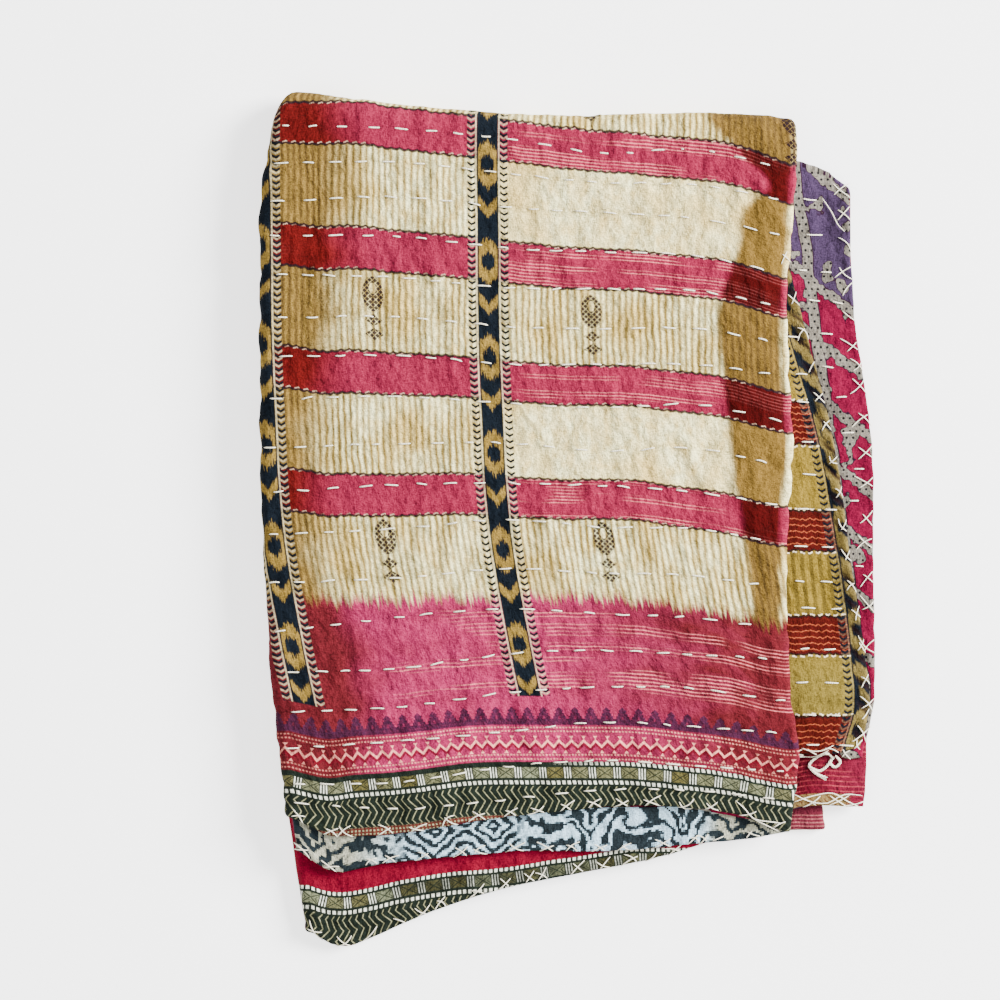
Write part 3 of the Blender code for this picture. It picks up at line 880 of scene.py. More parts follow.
def mesh_from(
    name: str,
    points: Array,
    quads: Array,
    triangles: Array,
    materials: Sequence[Material],
    material_of_face: Array | None = None,
    uv_layers: dict[str, Array] | None = None,
    values: dict[str, Array] | None = None,
) -> Object:
    """A smooth mesh object from arrays.

    Args:
        name: The object's name.
        points: Vertices in the tables' frame.
        quads: Four vertex numbers for each quad.
        triangles: Three for each triangle; they follow the quads.
        materials: The object's materials.
        material_of_face: Each face's material number.
        uv_layers: For each UV map, a pair for every corner.
        values: For each float attribute, a value for every vertex.

    Returns:
        The linked object.
    """
    corners = join([quads.ravel(), triangles.ravel()]).astype(np.int32)
    totals = join([np.full(len(quads), 4), np.full(len(triangles), 3)]).astype(np.int32)
    starts = join([[0], np.cumsum(totals)[:-1]]).astype(np.int32)
    mesh = bpy.data.meshes.new(name)
    mesh.vertices.add(len(points))
    mesh.vertices.foreach_set("co", tables_to_metres(points).astype(np.float32).ravel())
    mesh.loops.add(len(corners))
    mesh.loops.foreach_set("vertex_index", corners)
    mesh.polygons.add(len(totals))
    mesh.polygons.foreach_set("loop_start", starts)
    if material_of_face is not None:
        mesh.polygons.foreach_set("material_index", material_of_face.astype(np.int32))
    mesh.polygons.foreach_set("use_smooth", np.ones(len(totals), bool))
    for layer_name, pairs in (uv_layers or {}).items():
        mesh.uv_layers.new(name=layer_name).data.foreach_set("uv", pairs.astype(np.float32).ravel())
    for value_name, numbers in (values or {}).items():
        attribute = mesh.attributes.new(value_name, "FLOAT", "POINT")
        attribute.data.foreach_set("value", numbers.astype(np.float32))
    mesh.update(calc_edges=True)
    mesh.validate()
    for material in materials:
        mesh.materials.append(material)
    return linked(name, mesh)


def grid_rim(index: Array) -> Array:
    """The numbers round the outside of a grid, once round."""
    return join([index[:-1, 0], index[-1, :-1], index[:0:-1, -1], index[0, :0:-1]])


def grid_quads(index: Array) -> Array:
    """The quads of a grid of vertex numbers."""
    quads = [index[:-1, :-1], index[:-1, 1:], index[1:, 1:], index[1:, :-1]]
    return np.stack(quads, axis=-1).reshape(-1, 4)


def zip_rims(fine: Array, coarse: Array, places: Array) -> tuple[Array, Array]:
    """Triangles between a fine closed loop and a coarse one beneath some of its vertices.

    Each fine edge goes to the nearest coarse vertex, each coarse edge to the fine vertex between.

    Args:
        fine: Vertex numbers of the fine loop.
        coarse: Vertex numbers of the coarse loop.
        places: The place in the fine loop that each coarse vertex lies beneath.

    Returns:
        The triangles, and the place in the fine loop that each belongs to.
    """
    count = len(fine)
    following = np.append(places[1:], count)
    switch = (places + following) // 2
    edge = np.arange(count)
    nearest = np.searchsorted(switch, edge, side="right") % len(coarse)
    along = np.stack([fine, np.roll(fine, -1), coarse[nearest]], axis=-1)
    across = np.stack([fine[switch % count], np.roll(coarse, -1), coarse], axis=-1)
    return join([along, across]), join([edge, switch % count])


FIELD_MAP = "pattern"
BAKE_MAP = "OFBake"
# The attribute of painted shade: 1 at the panel's sides, 0 in its middle, painted as sunlit, and on its right
# fold's rim, painted as a highlight.
PAINTED_SHADE = "painted_shade"
LEAN = "row_lean"
HOLLOW_SHADE = "row_hollow_shade"
THINNING = 5  # the hidden inner side of each cloth keeps every fifth grid line
INNER_SHARE = 0.05  # the width that the inner side takes in the baking map
MAP_GAP = 0.005  # the bare strip beside it


def thinned(count: int, also: Array) -> Array:
    """The numbers below count that the inner side keeps: every fifth, the last, and the marked ones."""
    return np.unique(join([np.arange(0, count, THINNING), [count - 1], np.flatnonzero(also)]))


@dataclass
class Cloth:
    """One cloth of the quilt: a thin closed sheet whose outer side carries print and relief."""

    surface: ClothSurface
    facing: float = 1.0  # 1 for the cloth on the side of the normals, -1 for the other
    gap: float = 0.15
    rim_height: float = 0.08
    hidden_relief: float = 0.5
    evened: float = 0.8  # how much of the rows is lost over the top bend
    thinnest: float = 0.25
    softness: float = 0.5
    seed: int = 31

    def zones(self) -> Array:
        """The zone number of each quad, columns by lines."""
        raise NotImplementedError

    def patterns(self) -> Array:
        """For each zone, u and v in millimetres at each grid point."""
        raise NotImplementedError

    def relief(self) -> Array:
        """How far the outer side swells out at each grid point."""
        raise NotImplementedError

    def leans(self) -> Array:
        """How far the upright lines of a printed border lean at each grid point."""
        return np.zeros_like(self.surface.x)

    def seen_from_above(self) -> tuple[Array, Array]:
        """x and y for print and relief: on the front, where each point lies seen from above."""
        surface, front = self.surface, self.surface.front()[None]
        return (
            np.where(front, surface.points[..., 0], surface.x),
            np.where(front, surface.points[..., 1], surface.y),
        )

    def lengthwise(self) -> Array:
        """Y on the front, going on as distance over the top bend and down the rear."""
        along, front = travelled(self.surface.points, 1), self.surface.front()
        last = int(np.flatnonzero(front)[-1])
        beyond = self.surface.y[:, last : last + 1] + along - along[:, last : last + 1]
        return np.where(front[None], self.surface.y, beyond)

    def flat_layout(self) -> Array:
        """Each grid point's place on the cloth laid flat, from 0 to 1 both ways."""
        across = np.median(travelled(self.surface.points, 0), axis=1)
        along = np.median(travelled(self.surface.points, 1), axis=0)
        return np.stack(np.meshgrid(across / across[-1], along / along[-1], indexing="ij"), axis=-1)

    def outer_offset(self) -> Array:
        """Distance from the middle surface to the outer side: thickness, relief and hem, rounded to the rim.

        The height h becomes t + s ln(1 + e^((h - t) / s)), which levels deep hollows above the inner side.
        """
        surface, quilting = self.surface, self.surface.grid.quilting
        full = surface.grid.folding.quilt_thickness / 2 - self.gap - self.rim_height
        rims = quilting.rim(surface.from_hem) * quilting.rim(surface.from_edge)
        hems = quilting.hem(surface.from_hem) + quilting.hem(surface.from_edge)
        height = full + self.relief() + hems - self.thinnest
        height = self.thinnest + self.softness * np.logaddexp(0.0, height / self.softness)
        return self.gap + self.rim_height + height * rims

    def outer_side(self) -> Array:
        """The points of the outer side, which the surface beneath keeps flat."""
        normals = self.surface.normals() * self.facing
        points = self.surface.points + normals * self.outer_offset()[..., None]
        points[..., 2] = np.maximum(points[..., 2], 0.0)
        return points

    def make(self, name: str, materials: Sequence[Material]) -> Object:
        """Builds the sheet: a fine outer side, a thinned inner side and the rim between them.

        Args:
            name: The object's name.
            materials: One for each zone number.

        Returns:
            The object.
        """
        surface = self.surface
        columns, lines = surface.x.shape
        outer = self.outer_side()
        inner = surface.points + surface.normals() * (self.facing * self.gap)
        keep_column = thinned(columns, surface.in_turn)
        keep_line = thinned(lines, (surface.lines.angle > 0) & (surface.lines.angle < np.pi))
        index = np.arange(columns * lines).reshape(columns, lines)
        kept = index[np.ix_(keep_column, keep_line)]
        inner_index = columns * lines + np.arange(kept.size).reshape(kept.shape)
        rim, inner_rim = grid_rim(index), grid_rim(inner_index)
        rim_places = np.flatnonzero(np.isin(rim, grid_rim(kept)))
        strip, strip_place = zip_rims(rim, inner_rim, rim_places)
        quads = join([grid_quads(index), grid_quads(inner_index)[:, ::-1]])
        zone = self.zones()
        zone_at = np.pad(zone, ((0, 1), (0, 1)), mode="edge")
        inner_zone = zone_at[np.ix_(keep_column[:-1], keep_line[:-1])]
        zone_of_face = join([zone.ravel(), inner_zone.ravel(), zone_at.ravel()[rim[strip_place]]])
        if self.facing < 0:
            quads, strip = quads[:, ::-1], strip[:, ::-1]
        source = join([index.ravel(), kept.ravel()])
        corner = join([quads.ravel(), strip.ravel()])
        corner_zone = np.repeat(zone_of_face, [4] * len(quads) + [3] * len(strip))
        patterns = self.patterns().reshape(len(Zone), -1, 2) * MM
        layout = self.flat_layout().reshape(-1, 2)
        is_inner = corner >= columns * lines
        place = layout[source[corner]]
        inner_place = [1 - INNER_SHARE, 0.0] + place * [INNER_SHARE, 1.0]
        place = np.where(is_inner[:, None], inner_place, place * [1 - INNER_SHARE - MAP_GAP, 1.0])
        plan = self.seen_from_above()
        # Painted light: shade at the panel's sides, sunlight in its middle and a highlight on its right fold's
        # rim.
        depth = FieldPrint().painted_shade_at(surface.grid.folding, *plan)
        # Painted shade along the rows of stitches, where the cloth is drawn in.
        hollow = surface.grid.quilting.row_hollow_shade(*plan)
        values = {PAINTED_SHADE: depth, LEAN: self.leans(), HOLLOW_SHADE: hollow}
        return mesh_from(
            name,
            join([outer.reshape(-1, 3), inner.reshape(-1, 3)[kept.ravel()]]),
            quads,
            strip,
            materials,
            zone_of_face,
            {FIELD_MAP: patterns[corner_zone, source[corner]], BAKE_MAP: place},
            {key: value.ravel()[source] for key, value in values.items()},
        )


@dataclass
class FaceCloth(Cloth):
    """The printed sari cotton: the panel, the inner flap, and the wrap's rear with its border end."""

    field: FieldPrint = FieldPrint()
    steepest: float = 1.15
    border_top: float = 99.0
    lobe_height: float = 3.4
    lobe_reach: float = 12.0
    lobe_pitch: float = 21.0

    def leans(self) -> Array:
        """The panel's own lean on the front, and the slope of the wrap's border on the rear."""
        x, y = self.seen_from_above()
        rear = slope_of(BORDER_END_LINE, self.surface.x)
        return np.where(self.surface.front()[None], self.field.row_lean(x, y), rear)

    def twist(self) -> Array:
        """The rope-like lobes along the inner flap's free edge, where its hem curls between stitches."""
        surface = self.surface
        on_flap = surface.lane_on(INNER_FLAP)
        across = np.minimum(surface.from_edge, FAR)
        lobes = np.abs(np.cos(np.pi * (surface.y - 0.9 * across) / self.lobe_pitch)) ** 0.7
        height = self.lobe_height * (lobes - 0.45) * np.exp(-((across / self.lobe_reach) ** 2))
        return np.where(on_flap, height, 0.0)

    def relief(self) -> Array:
        """Rows, puckers and creases, at full strength on the panel and less on what lies beneath."""
        surface, quilting = self.surface, self.surface.grid.quilting
        x, y = self.seen_from_above()
        on_panel = surface.lane_on(PANEL)
        strength = np.where(on_panel, 1.0, self.hidden_relief)
        flat = np.sin(surface.lines.angle)[None] ** 2
        rows = quilting.rows(x, y) * (1 - self.evened * flat)
        creases = np.where(on_panel, quilting.creases(x, y), 0.0)
        return strength * (rows + quilting.puckers(x, self.lengthwise(), self.seed)) + creases + self.twist()

    def zones(self) -> Array:
        """Field on the panel and its half turns, and the other prints lane by lane."""
        surface = self.surface
        zone = np.full(surface.x.shape, Zone.CRIMSON_END.value)
        for lane, here in ((PANEL, Zone.FIELD), (INNER_FLAP, Zone.INNER_FLAP), (FLAP, Zone.FLAP)):
            zone[surface.columns_of(lane)] = here.value
        zone[surface.lane_on(WRAP, False) & (surface.x < BORDER_END_RIGHT)] = Zone.BORDER_END.value
        low = self.patterns()[Zone.FIELD.value, ..., 1] < self.border_top
        zone[low & (zone == Zone.FIELD.value)] = Zone.BORDER.value
        return zone[:-1, :-1]

    def round_the_fold(self, across: Array) -> Array:
        """X on the wrap, going on as distance across the cloth where its fold at the left turns under."""
        surface = self.surface
        wrap = np.flatnonzero(surface.columns_of(WRAP) & ~surface.in_turn)
        edge = wrap[0] if surface.x[wrap[0], 0] < surface.x[wrap[-1], 0] else wrap[-1]
        beyond = surface.x[edge] - np.abs(across - across[edge])
        return np.where(surface.in_turn[:, None], beyond, surface.x)

    def patterns(self) -> Array:
        """The print coordinates of all zones.

        The field's are FieldPrint's on the panel's front. Past the top line v goes on with the distance
        along the cloth, and round the side turns u does.
        """
        surface = self.surface
        folding = surface.grid.folding
        across, along = travelled(surface.points, 0), travelled(surface.points, 1)
        panel = np.flatnonzero(surface.columns_of(PANEL) & ~surface.in_turn)
        first, last = panel[0], panel[-1]
        top = int(np.flatnonzero(surface.lines.angle < self.steepest)[-1])
        u, v = self.field.coordinates(*self.seen_from_above())
        v[:, top:] = v[:, top : top + 1] + along[:, top:] - along[:, top : top + 1]
        u[:, top:] = u[:, top : top + 1]
        for columns, edge in ((slice(0, first), first), (slice(last + 1, None), last)):
            u[columns] = u[edge] - (across[columns] - across[edge])
            v[columns] = v[edge]
        x, y = surface.x, surface.y
        rear = np.broadcast_to(~surface.front()[None], x.shape).astype(float)
        length = self.lengthwise()
        pairs = {
            Zone.FIELD: (u, v),
            Zone.INNER_FLAP: (folding.right_side("flap_edge", y, rear) - x, length),
            Zone.FLAP: (x, surface.from_hem),
            Zone.BORDER_END: (self.round_the_fold(across), y - hem_y(BORDER_END_LINE, x)),
            Zone.CRIMSON_END: (x, surface.from_hem),
            Zone.BORDER: (u, v),
        }
        return np.stack([np.stack(pairs[zone], axis=-1) for zone in Zone])


@dataclass
class BackingCloth(Cloth):
    """The backing: a dark and pale leaf print on the flap, and a branch print on the wrap."""

    facing: float = -1.0
    seed: int = 57
    shown_from: float = 170.0

    def relief(self) -> Array:
        """Rows and puckers, fuller where the wrap and the flap's hem show."""
        surface, quilting = self.surface, self.surface.grid.quilting
        x, y = surface.x, surface.y
        strength = np.where(surface.lane_on(WRAP) & (x > self.shown_from), 1.0, self.hidden_relief)
        flat = np.sin(surface.lines.angle)[None]
        return strength * (quilting.rows(x, y) * (1 - self.evened * flat) + quilting.puckers(x, y, self.seed))

    def zones(self) -> Array:
        """The leaf print on the flap and the branch print everywhere else."""
        zone = np.full(self.surface.x.shape, Zone.FIELD.value)
        zone[self.surface.columns_of(FLAP)] = Zone.FLAP.value
        return zone[:-1, :-1]

    def patterns(self) -> Array:
        """x and the lengthwise distance for the branches, x and the distance from the hem for the leaves."""
        surface = self.surface
        branch = np.stack([surface.x, self.lengthwise()], axis=-1)
        leaf = np.stack([surface.x, surface.from_hem], axis=-1)
        return np.stack([leaf if zone is Zone.FLAP else branch for zone in Zone])


# ---- shader tools


def dye(red: int, green: int, blue: int) -> Colour:
    """A screen colour from 0 to 255 as the linear values of a shader: ((c + 0.055) / 1.055)^2.4."""
    linear = [c / 255 / 12.92 if c <= 10 else ((c / 255 + 0.055) / 1.055) ** 2.4 for c in (red, green, blue)]
    return (linear[0], linear[1], linear[2], 1.0)


def operator(operation: str) -> Callable[[Value, Value | float], Value]:
    """A method that joins a value and another one with a Math node."""

    def method(self: Value, other: Value | float) -> Value:
        """The Math node's result."""
        return self.maths(operation, other)

    return method


class Value:
    """A number that varies over a surface. Expressions on values add their Math nodes."""

    def __init__(self, loom: Loom, socket: NodeSocket) -> None:
        """Wraps a socket of a loom's node tree."""
        self.loom, self.socket = loom, socket

    def maths(self, operation: str, *others: Value | float, clamp: bool = False) -> Value:
        """The result of one Math node on this value and others."""
        settings = {"operation": operation, "use_clamp": clamp}
        return Value(self.loom, self.loom.node("ShaderNodeMath", settings, [self, *others]).outputs[0])

    __add__ = __radd__ = operator("ADD")
    __sub__ = operator("SUBTRACT")
    __mul__ = __rmul__ = operator("MULTIPLY")
    __truediv__ = operator("DIVIDE")
    at_most = operator("MINIMUM")
    at_least = operator("MAXIMUM")

    def __rsub__(self, other: float) -> Value:
        """other - self"""
        return self.maths("MULTIPLY_ADD", -1.0, other)

    def __abs__(self) -> Value:
        """The distance from zero."""
        return self.maths("ABSOLUTE")

    def squared(self) -> Value:
        """self^2"""
        return self.maths("POWER", 2.0)

    def sine(self, period: float) -> Value:
        """sin(2 pi self / period)"""
        return (self * (2 * np.pi / period)).maths("SINE")

    def fold(self, period: float) -> Value:
        """The distance to the nearest multiple of the period."""
        return self.maths("PINGPONG", period / 2)

    def wrap(self, low: float, high: float) -> Value:
        """Self brought between low and high by whole steps of their difference."""
        return self.maths("WRAP", high, low)

    def cell(self, period: float) -> Value:
        """The number of the period that self lies in."""
        return (self / period).maths("FLOOR")

    def above(self, edge: Value | float, soft: float) -> Value:
        """0 below an edge and 1 above it, over a soft width."""
        return ((self - edge) / soft).maths("ADD", 0.5, clamp=True)

    def below(self, edge: Value | float, soft: float) -> Value:
        """1 below an edge and 0 above it."""
        return ((edge - self) / soft).maths("ADD", 0.5, clamp=True)

    def between(self, low: float, high: float, soft: float) -> Value:
        """1 from low to high and 0 outside."""
        return abs(self - (low + high) / 2).below((high - low) / 2, soft)

    def towards(self, other: Value, mask: Value) -> Value:
        """Self where the mask is 0 and the other where it is 1."""
        return self + (other - self) * mask

    def inside(self, low: float, high: float) -> Value:
        """How far self lies inside low to high: half of their distance minus that from their middle."""
        return (high - low) / 2 - abs(self - (low + high) / 2)

    def lines(self, pitch: float, half_width: float, soft: float) -> Value:
        """1 on lines of a width that lie a pitch apart, from 0 on."""
        return self.fold(pitch).below(half_width, soft)


Paint = Colour | NodeSocket


class Loom:
    """Builds one cloth or thread material: print, weave and bump, from nodes."""

    def __init__(self, name: str, roughness: float = 0.9, sheen: float = 0.01) -> None:
        """Starts a material with its shader and the fixed numbers of its finish."""
        self.material = bpy.data.materials.new(name)
        self.material.use_nodes = True
        self.tree = self.material.node_tree
        self.tree.nodes.clear()
        fixed = {"Roughness": roughness, "Specular IOR Level": 0.03, "Sheen Weight": sheen}
        fixed["Sheen Roughness"] = 0.6
        self.shader = self.node("ShaderNodeBsdfPrincipled", {}, fixed)
        self.node("ShaderNodeOutputMaterial", {}, [self.shader.outputs[0]])
        self.colour: Paint = dye(200, 200, 200)

    def node(self, kind: str, settings: dict, inputs: dict | Sequence) -> Node:
        """Adds a node.

        Args:
            kind: Its type.
            settings: Its properties, set before its sockets.
            inputs: Values, sockets or numbers, by the socket's name or number.

        Returns:
            The node.
        """
        made = self.tree.nodes.new(kind)
        for key, setting in settings.items():
            setattr(made, key, setting)
        pairs = inputs.items() if isinstance(inputs, dict) else enumerate(inputs)
        for key, given in pairs:
            self.feed(made.inputs[key], given)
        return made

    def feed(self, socket: NodeSocket, given: object) -> None:
        """Links a value or socket into a socket, or sets a plain number or colour on it."""
        if isinstance(given, Value):
            self.tree.links.new(given.socket, socket)
        elif isinstance(given, NodeSocket):
            self.tree.links.new(given, socket)
        else:
            socket.default_value = given

    def pattern(self) -> tuple[Value, Value]:
        """The piece's own print coordinates, u and v in millimetres."""
        source = self.node("ShaderNodeUVMap", {"uv_map": FIELD_MAP}, {})
        split = self.node("ShaderNodeSeparateXYZ", {}, [source.outputs[0]])
        return Value(self, split.outputs[0]) * (1 / MM), Value(self, split.outputs[1]) * (1 / MM)

    def attribute(self, name: str) -> Value:
        """A float attribute of the piece."""
        return Value(self, self.node("ShaderNodeAttribute", {"attribute_name": name}, {}).outputs["Fac"])

    def vector(self, x: Value | float, y: Value | float, z: Value | float = 0.0) -> NodeSocket:
        """Three values as a vector."""
        return self.node("ShaderNodeCombineXYZ", {}, [x, y, z]).outputs[0]

    def noise(self, x: Value | float, y: Value | float, detail: float = 1.0, place: float = 0.0) -> Value:
        """Soft noise around 0.5 over two values that are already in units of its size."""
        inputs = {"Vector": self.vector(x, y, place), "Scale": 1.0, "Detail": detail}
        return Value(self, self.node("ShaderNodeTexNoise", {}, inputs).outputs[0])

    def waver(self, along: Value, size: float, reach: float, place: float) -> Value:
        """A slow random waver of a line, up to about its reach each way, over lengths of a size."""
        return (self.noise(along / size, 0.0, 1.0, place) - 0.5) * (2 * reach)

    def chance(self, x: Value, y: Value | float = 0.0) -> Value:
        """A random number from 0 to 1 for each whole x and y."""
        made = self.node("ShaderNodeTexWhiteNoise", {}, {"Vector": self.vector(x, y)})
        return Value(self, made.outputs["Value"])

    def mix(self, mask: Value | float, under: Paint, over: Paint) -> NodeSocket:
        """One colour laid over another where the mask is 1."""
        made = self.node("ShaderNodeMix", {"data_type": "RGBA", "clamp_factor": True}, {"Factor": mask})
        self.feed(made.inputs[6], under)
        self.feed(made.inputs[7], over)
        return made.outputs[2]

    def lay(self, mask: Value | float, over: Paint) -> None:
        """Prints a colour over what is there."""
        self.colour = self.mix(mask, self.colour, over)

    def shade(self, amount: Value) -> None:
        """Multiplies the colour by an amount."""
        made = self.node("ShaderNodeVectorMath", {"operation": "SCALE"}, {0: self.colour, "Scale": amount})
        self.colour = made.outputs[0]

    def weave(self, u: Value, v: Value, fleck: float = 0.6, wrinkle: float = 3.8) -> Material:
        """Finishes a woven cloth: flecks of yarn, painted shade in the hollows of the wrinkles and along the
        rows of stitches, and bump from yarn and fine wrinkles.

        Args:
            u: Print coordinate across.
            v: Print coordinate along.
            fleck: How much paler or darker the yarns are.
            wrinkle: Height of the fine wrinkles in millimetres.

        Returns:
            The material.
        """
        upright = self.noise(u * 2.3, v * 0.5, 1.0, 1.5)
        level = self.noise(u * 0.45, v * 2.1, 1.0, 7.5)
        yarn = (upright + level - 1.0) * 2.4
        creping = self.noise(u * 0.16, v * 0.11, 3.0, 4.0)
        drape = self.noise(u * 0.045, v * 0.022, 1.0, 6.0)
        # Painted shade: the colour darkens where the creping and drape noise is low, as in the hollows of their
        # bump, and along the rows of stitches; the flecks of yarn are the cloth's own.
        hollow = self.attribute(HOLLOW_SHADE)
        self.shade(yarn * fleck + creping * 0.72 + drape * 0.4 - hollow * 0.13 + 0.45)
        return self.finish(yarn * 0.16 + creping * wrinkle + drape * (wrinkle * 1.6))

    def finish(self, height: Value | None) -> Material:
        """Links the colour, and a bump of the given height in millimetres, and returns the material."""
        self.feed(self.shader.inputs["Base Color"], self.colour)
        if height is not None:
            bump = self.node("ShaderNodeBump", {}, {"Strength": 1.0, "Distance": MM, "Height": height})
            self.feed(self.shader.inputs["Normal"], bump.outputs[0])
        return self.material


# ---- prints


@dataclass(frozen=True)
class IkatBand:
    """The dark band with blurred flames that runs along the cloth, with chevrons on both sides."""

    half_width: float = 8.5
    period: float = 79.7
    centre: float = 149
    lozenge: float = 19
    lozenge_slope: float = 0.95
    core: float = 9
    core_width: float = 5.4
    arrow: float = -36
    arrow_height: float = 8.5
    arrow_slope: float = 1.15
    column: float = 13
    column_width: float = 3.2
    chevron_pitch: float = 5.4
    chevron_slope: float = 0.6
    dark: Colour = dye(14, 20, 27)
    flame: Colour = dye(128, 103, 46)
    line: Colour = dye(214, 200, 156)
    rim_line: float = 0.6

    def flames(self, loom: Loom, u: Value, v: Value) -> Value:
        """The pale flames: a lozenge round a dark core, then an arrow that points down.

        With q the distance above its middle, the lozenge is |q| < a - slope |u|, the core the same but
        smaller, and the arrow lies between two lines q = b + slope |u|.
        """
        blur = (loom.noise(u * 1, v * 0.17, 2, 2) - 0.5) * 17
        q = (v - (self.centre - self.period / 2)).wrap(0, self.period) - self.period / 2
        aside = abs(u)
        lozenge = (abs(q) + aside * self.lozenge_slope + blur).below(self.lozenge, 3)
        core = (abs(q) + aside * 0.9 + blur).below(self.core, 2.5) * aside.below(self.core_width, 1.2)
        low = q.wrap(-self.period + self.lozenge, self.lozenge)
        rise = low - self.arrow - aside * self.arrow_slope + blur * 0.6
        arrow = abs(rise + self.arrow_height * 0.4).below(self.arrow_height / 2, 2.5)
        return (lozenge * (1 - core)).at_least(arrow) * aside.below(self.half_width - 1.1, 0.8)

    def print_on(self, loom: Loom, u: Value, v: Value, mask: Value | float) -> None:
        """Prints the band and its chevrons, with u counted from its middle."""
        aside = abs(u)
        beside = abs(aside - self.column)
        point = (v - beside * self.chevron_slope).fold(self.chevron_pitch)
        column = beside.below(self.column_width, 0.6)
        shine = (v + 2.2 - beside * self.chevron_slope).fold(self.chevron_pitch)
        loom.lay(shine.below(0.8, 0.9) * column * mask * self.rim_line * 0.75, self.line)
        loom.lay(point.below(1.05, 0.7) * column * mask, self.dark)
        loom.lay(aside.between(self.half_width, self.half_width + 1.3, 0.6) * mask * self.rim_line, self.line)
        loom.lay(aside.below(self.half_width, 0.8) * mask, self.dark)
        loom.lay(self.flames(loom, u, v) * mask, self.flame)


@dataclass(frozen=True)
class BorderRows:
    """The printed rows along the end of the sari, counted up from v = 0: zigzag, dots, tiles, dots."""

    top: float = 48
    ground: Colour = dye(24, 31, 25)
    line: Colour = dye(150, 148, 112)
    dots: Colour = dye(234, 236, 216)
    tile: Colour = dye(88, 82, 46)
    pale_tile: Colour = dye(118, 122, 94)
    hem: Colour = dye(84, 38, 32)
    zigzag: Pair = (5.5, 28.5)
    zigzag_height: float = 8.4
    zigzag_reach: float = 5.8
    zigzag_pitch: float = 5.5
    stroke: float = 0.8
    dot_pitch: float = 4.2
    dot: float = 2.4
    low_dots: Pair = (30.2, 33)
    high_dots: Pair = (45.4, 48)
    tile_pitch: float = 19.8
    tile_size: Pair = (6.4, 4.2)
    bar_pitch: float = 2.2
    tile_middle: float = 39.4

    def print_on(self, loom: Loom, u: Value, v: Value, dots_above: Value | float) -> None:
        """Prints the rows from v = 0 to the top.

        The zigzag is where u - reach tri(v / height) nears a multiple of the pitch, a dot where u and v
        near the middles of their cells, and a tile has a cross of its diagonals.

        Args:
            loom: The material.
            u: Across.
            v: Up from the hem.
            dots_above: How strongly the dots above the tiles show.
        """
        loom.lay(v.below(self.top, 0.8), self.ground)
        lean = loom.attribute(LEAN)
        uneven = (loom.noise(u * 0.05, v * 0.07, 1, 5) - 0.5) * 4
        shown = loom.noise(u * 0.13, v * 0.13, 1, 8).above(0.42, 0.25)
        upright = u + lean * (v - 17)
        slope = self.zigzag_reach / self.zigzag_height
        sideways = (upright + uneven) + v.fold(2 * self.zigzag_height) * slope
        strokes = sideways.lines(self.zigzag_pitch, self.stroke / 2, 0.7)
        loom.lay(strokes * v.between(*self.zigzag, 0.8) * (0.55 + shown * 0.45), self.line)
        across = (u + uneven * 0.3).lines(self.dot_pitch, self.dot / 2, 0.6)
        rows = v.between(*self.low_dots, 0.6).at_least(v.between(*self.high_dots, 0.6) * dots_above)
        loom.lay(across * rows, self.dots)
        height = v - self.tile_middle
        self.lay_tiles(loom, u + lean * height, height)
        loom.lay(v.below(5, 1), self.hem)
        specks = u.lines(3, 0.7, 0.6) * v.lines(2.8, 0.7, 0.6)
        loom.lay(v.below(5, 1) * specks, self.line)

    def lay_tiles(self, loom: Loom, u: Value, height: Value) -> None:
        """The tiles with their crosses, and three upright bars between them."""
        half_width, half_height = self.tile_size
        place = (u + self.tile_pitch / 2).fold(self.tile_pitch)
        inside = place.below(half_width, 0.6) * abs(height).below(half_height, 0.6)
        which = loom.chance((u + self.tile_pitch).cell(self.tile_pitch))
        loom.lay(inside * 0.95, loom.mix(which.above(0.5, 0.6), self.tile, self.pale_tile))
        diagonal = abs(place * (half_height / half_width) - abs(height)).below(0.5, 0.6)
        frame_line = abs(place - abs(height)).between(3.2, 4, 0.6)
        loom.lay(diagonal.at_least(frame_line) * inside * 0.9, self.ground)
        between = u.fold(self.tile_pitch)
        bars = between.lines(self.bar_pitch, 0.45, 0.5) * between.below(1.4 * self.bar_pitch, 0.4)
        bars = bars * abs(height).below(half_height, 0.6)
        loom.lay(bars * 0.95, self.dots)


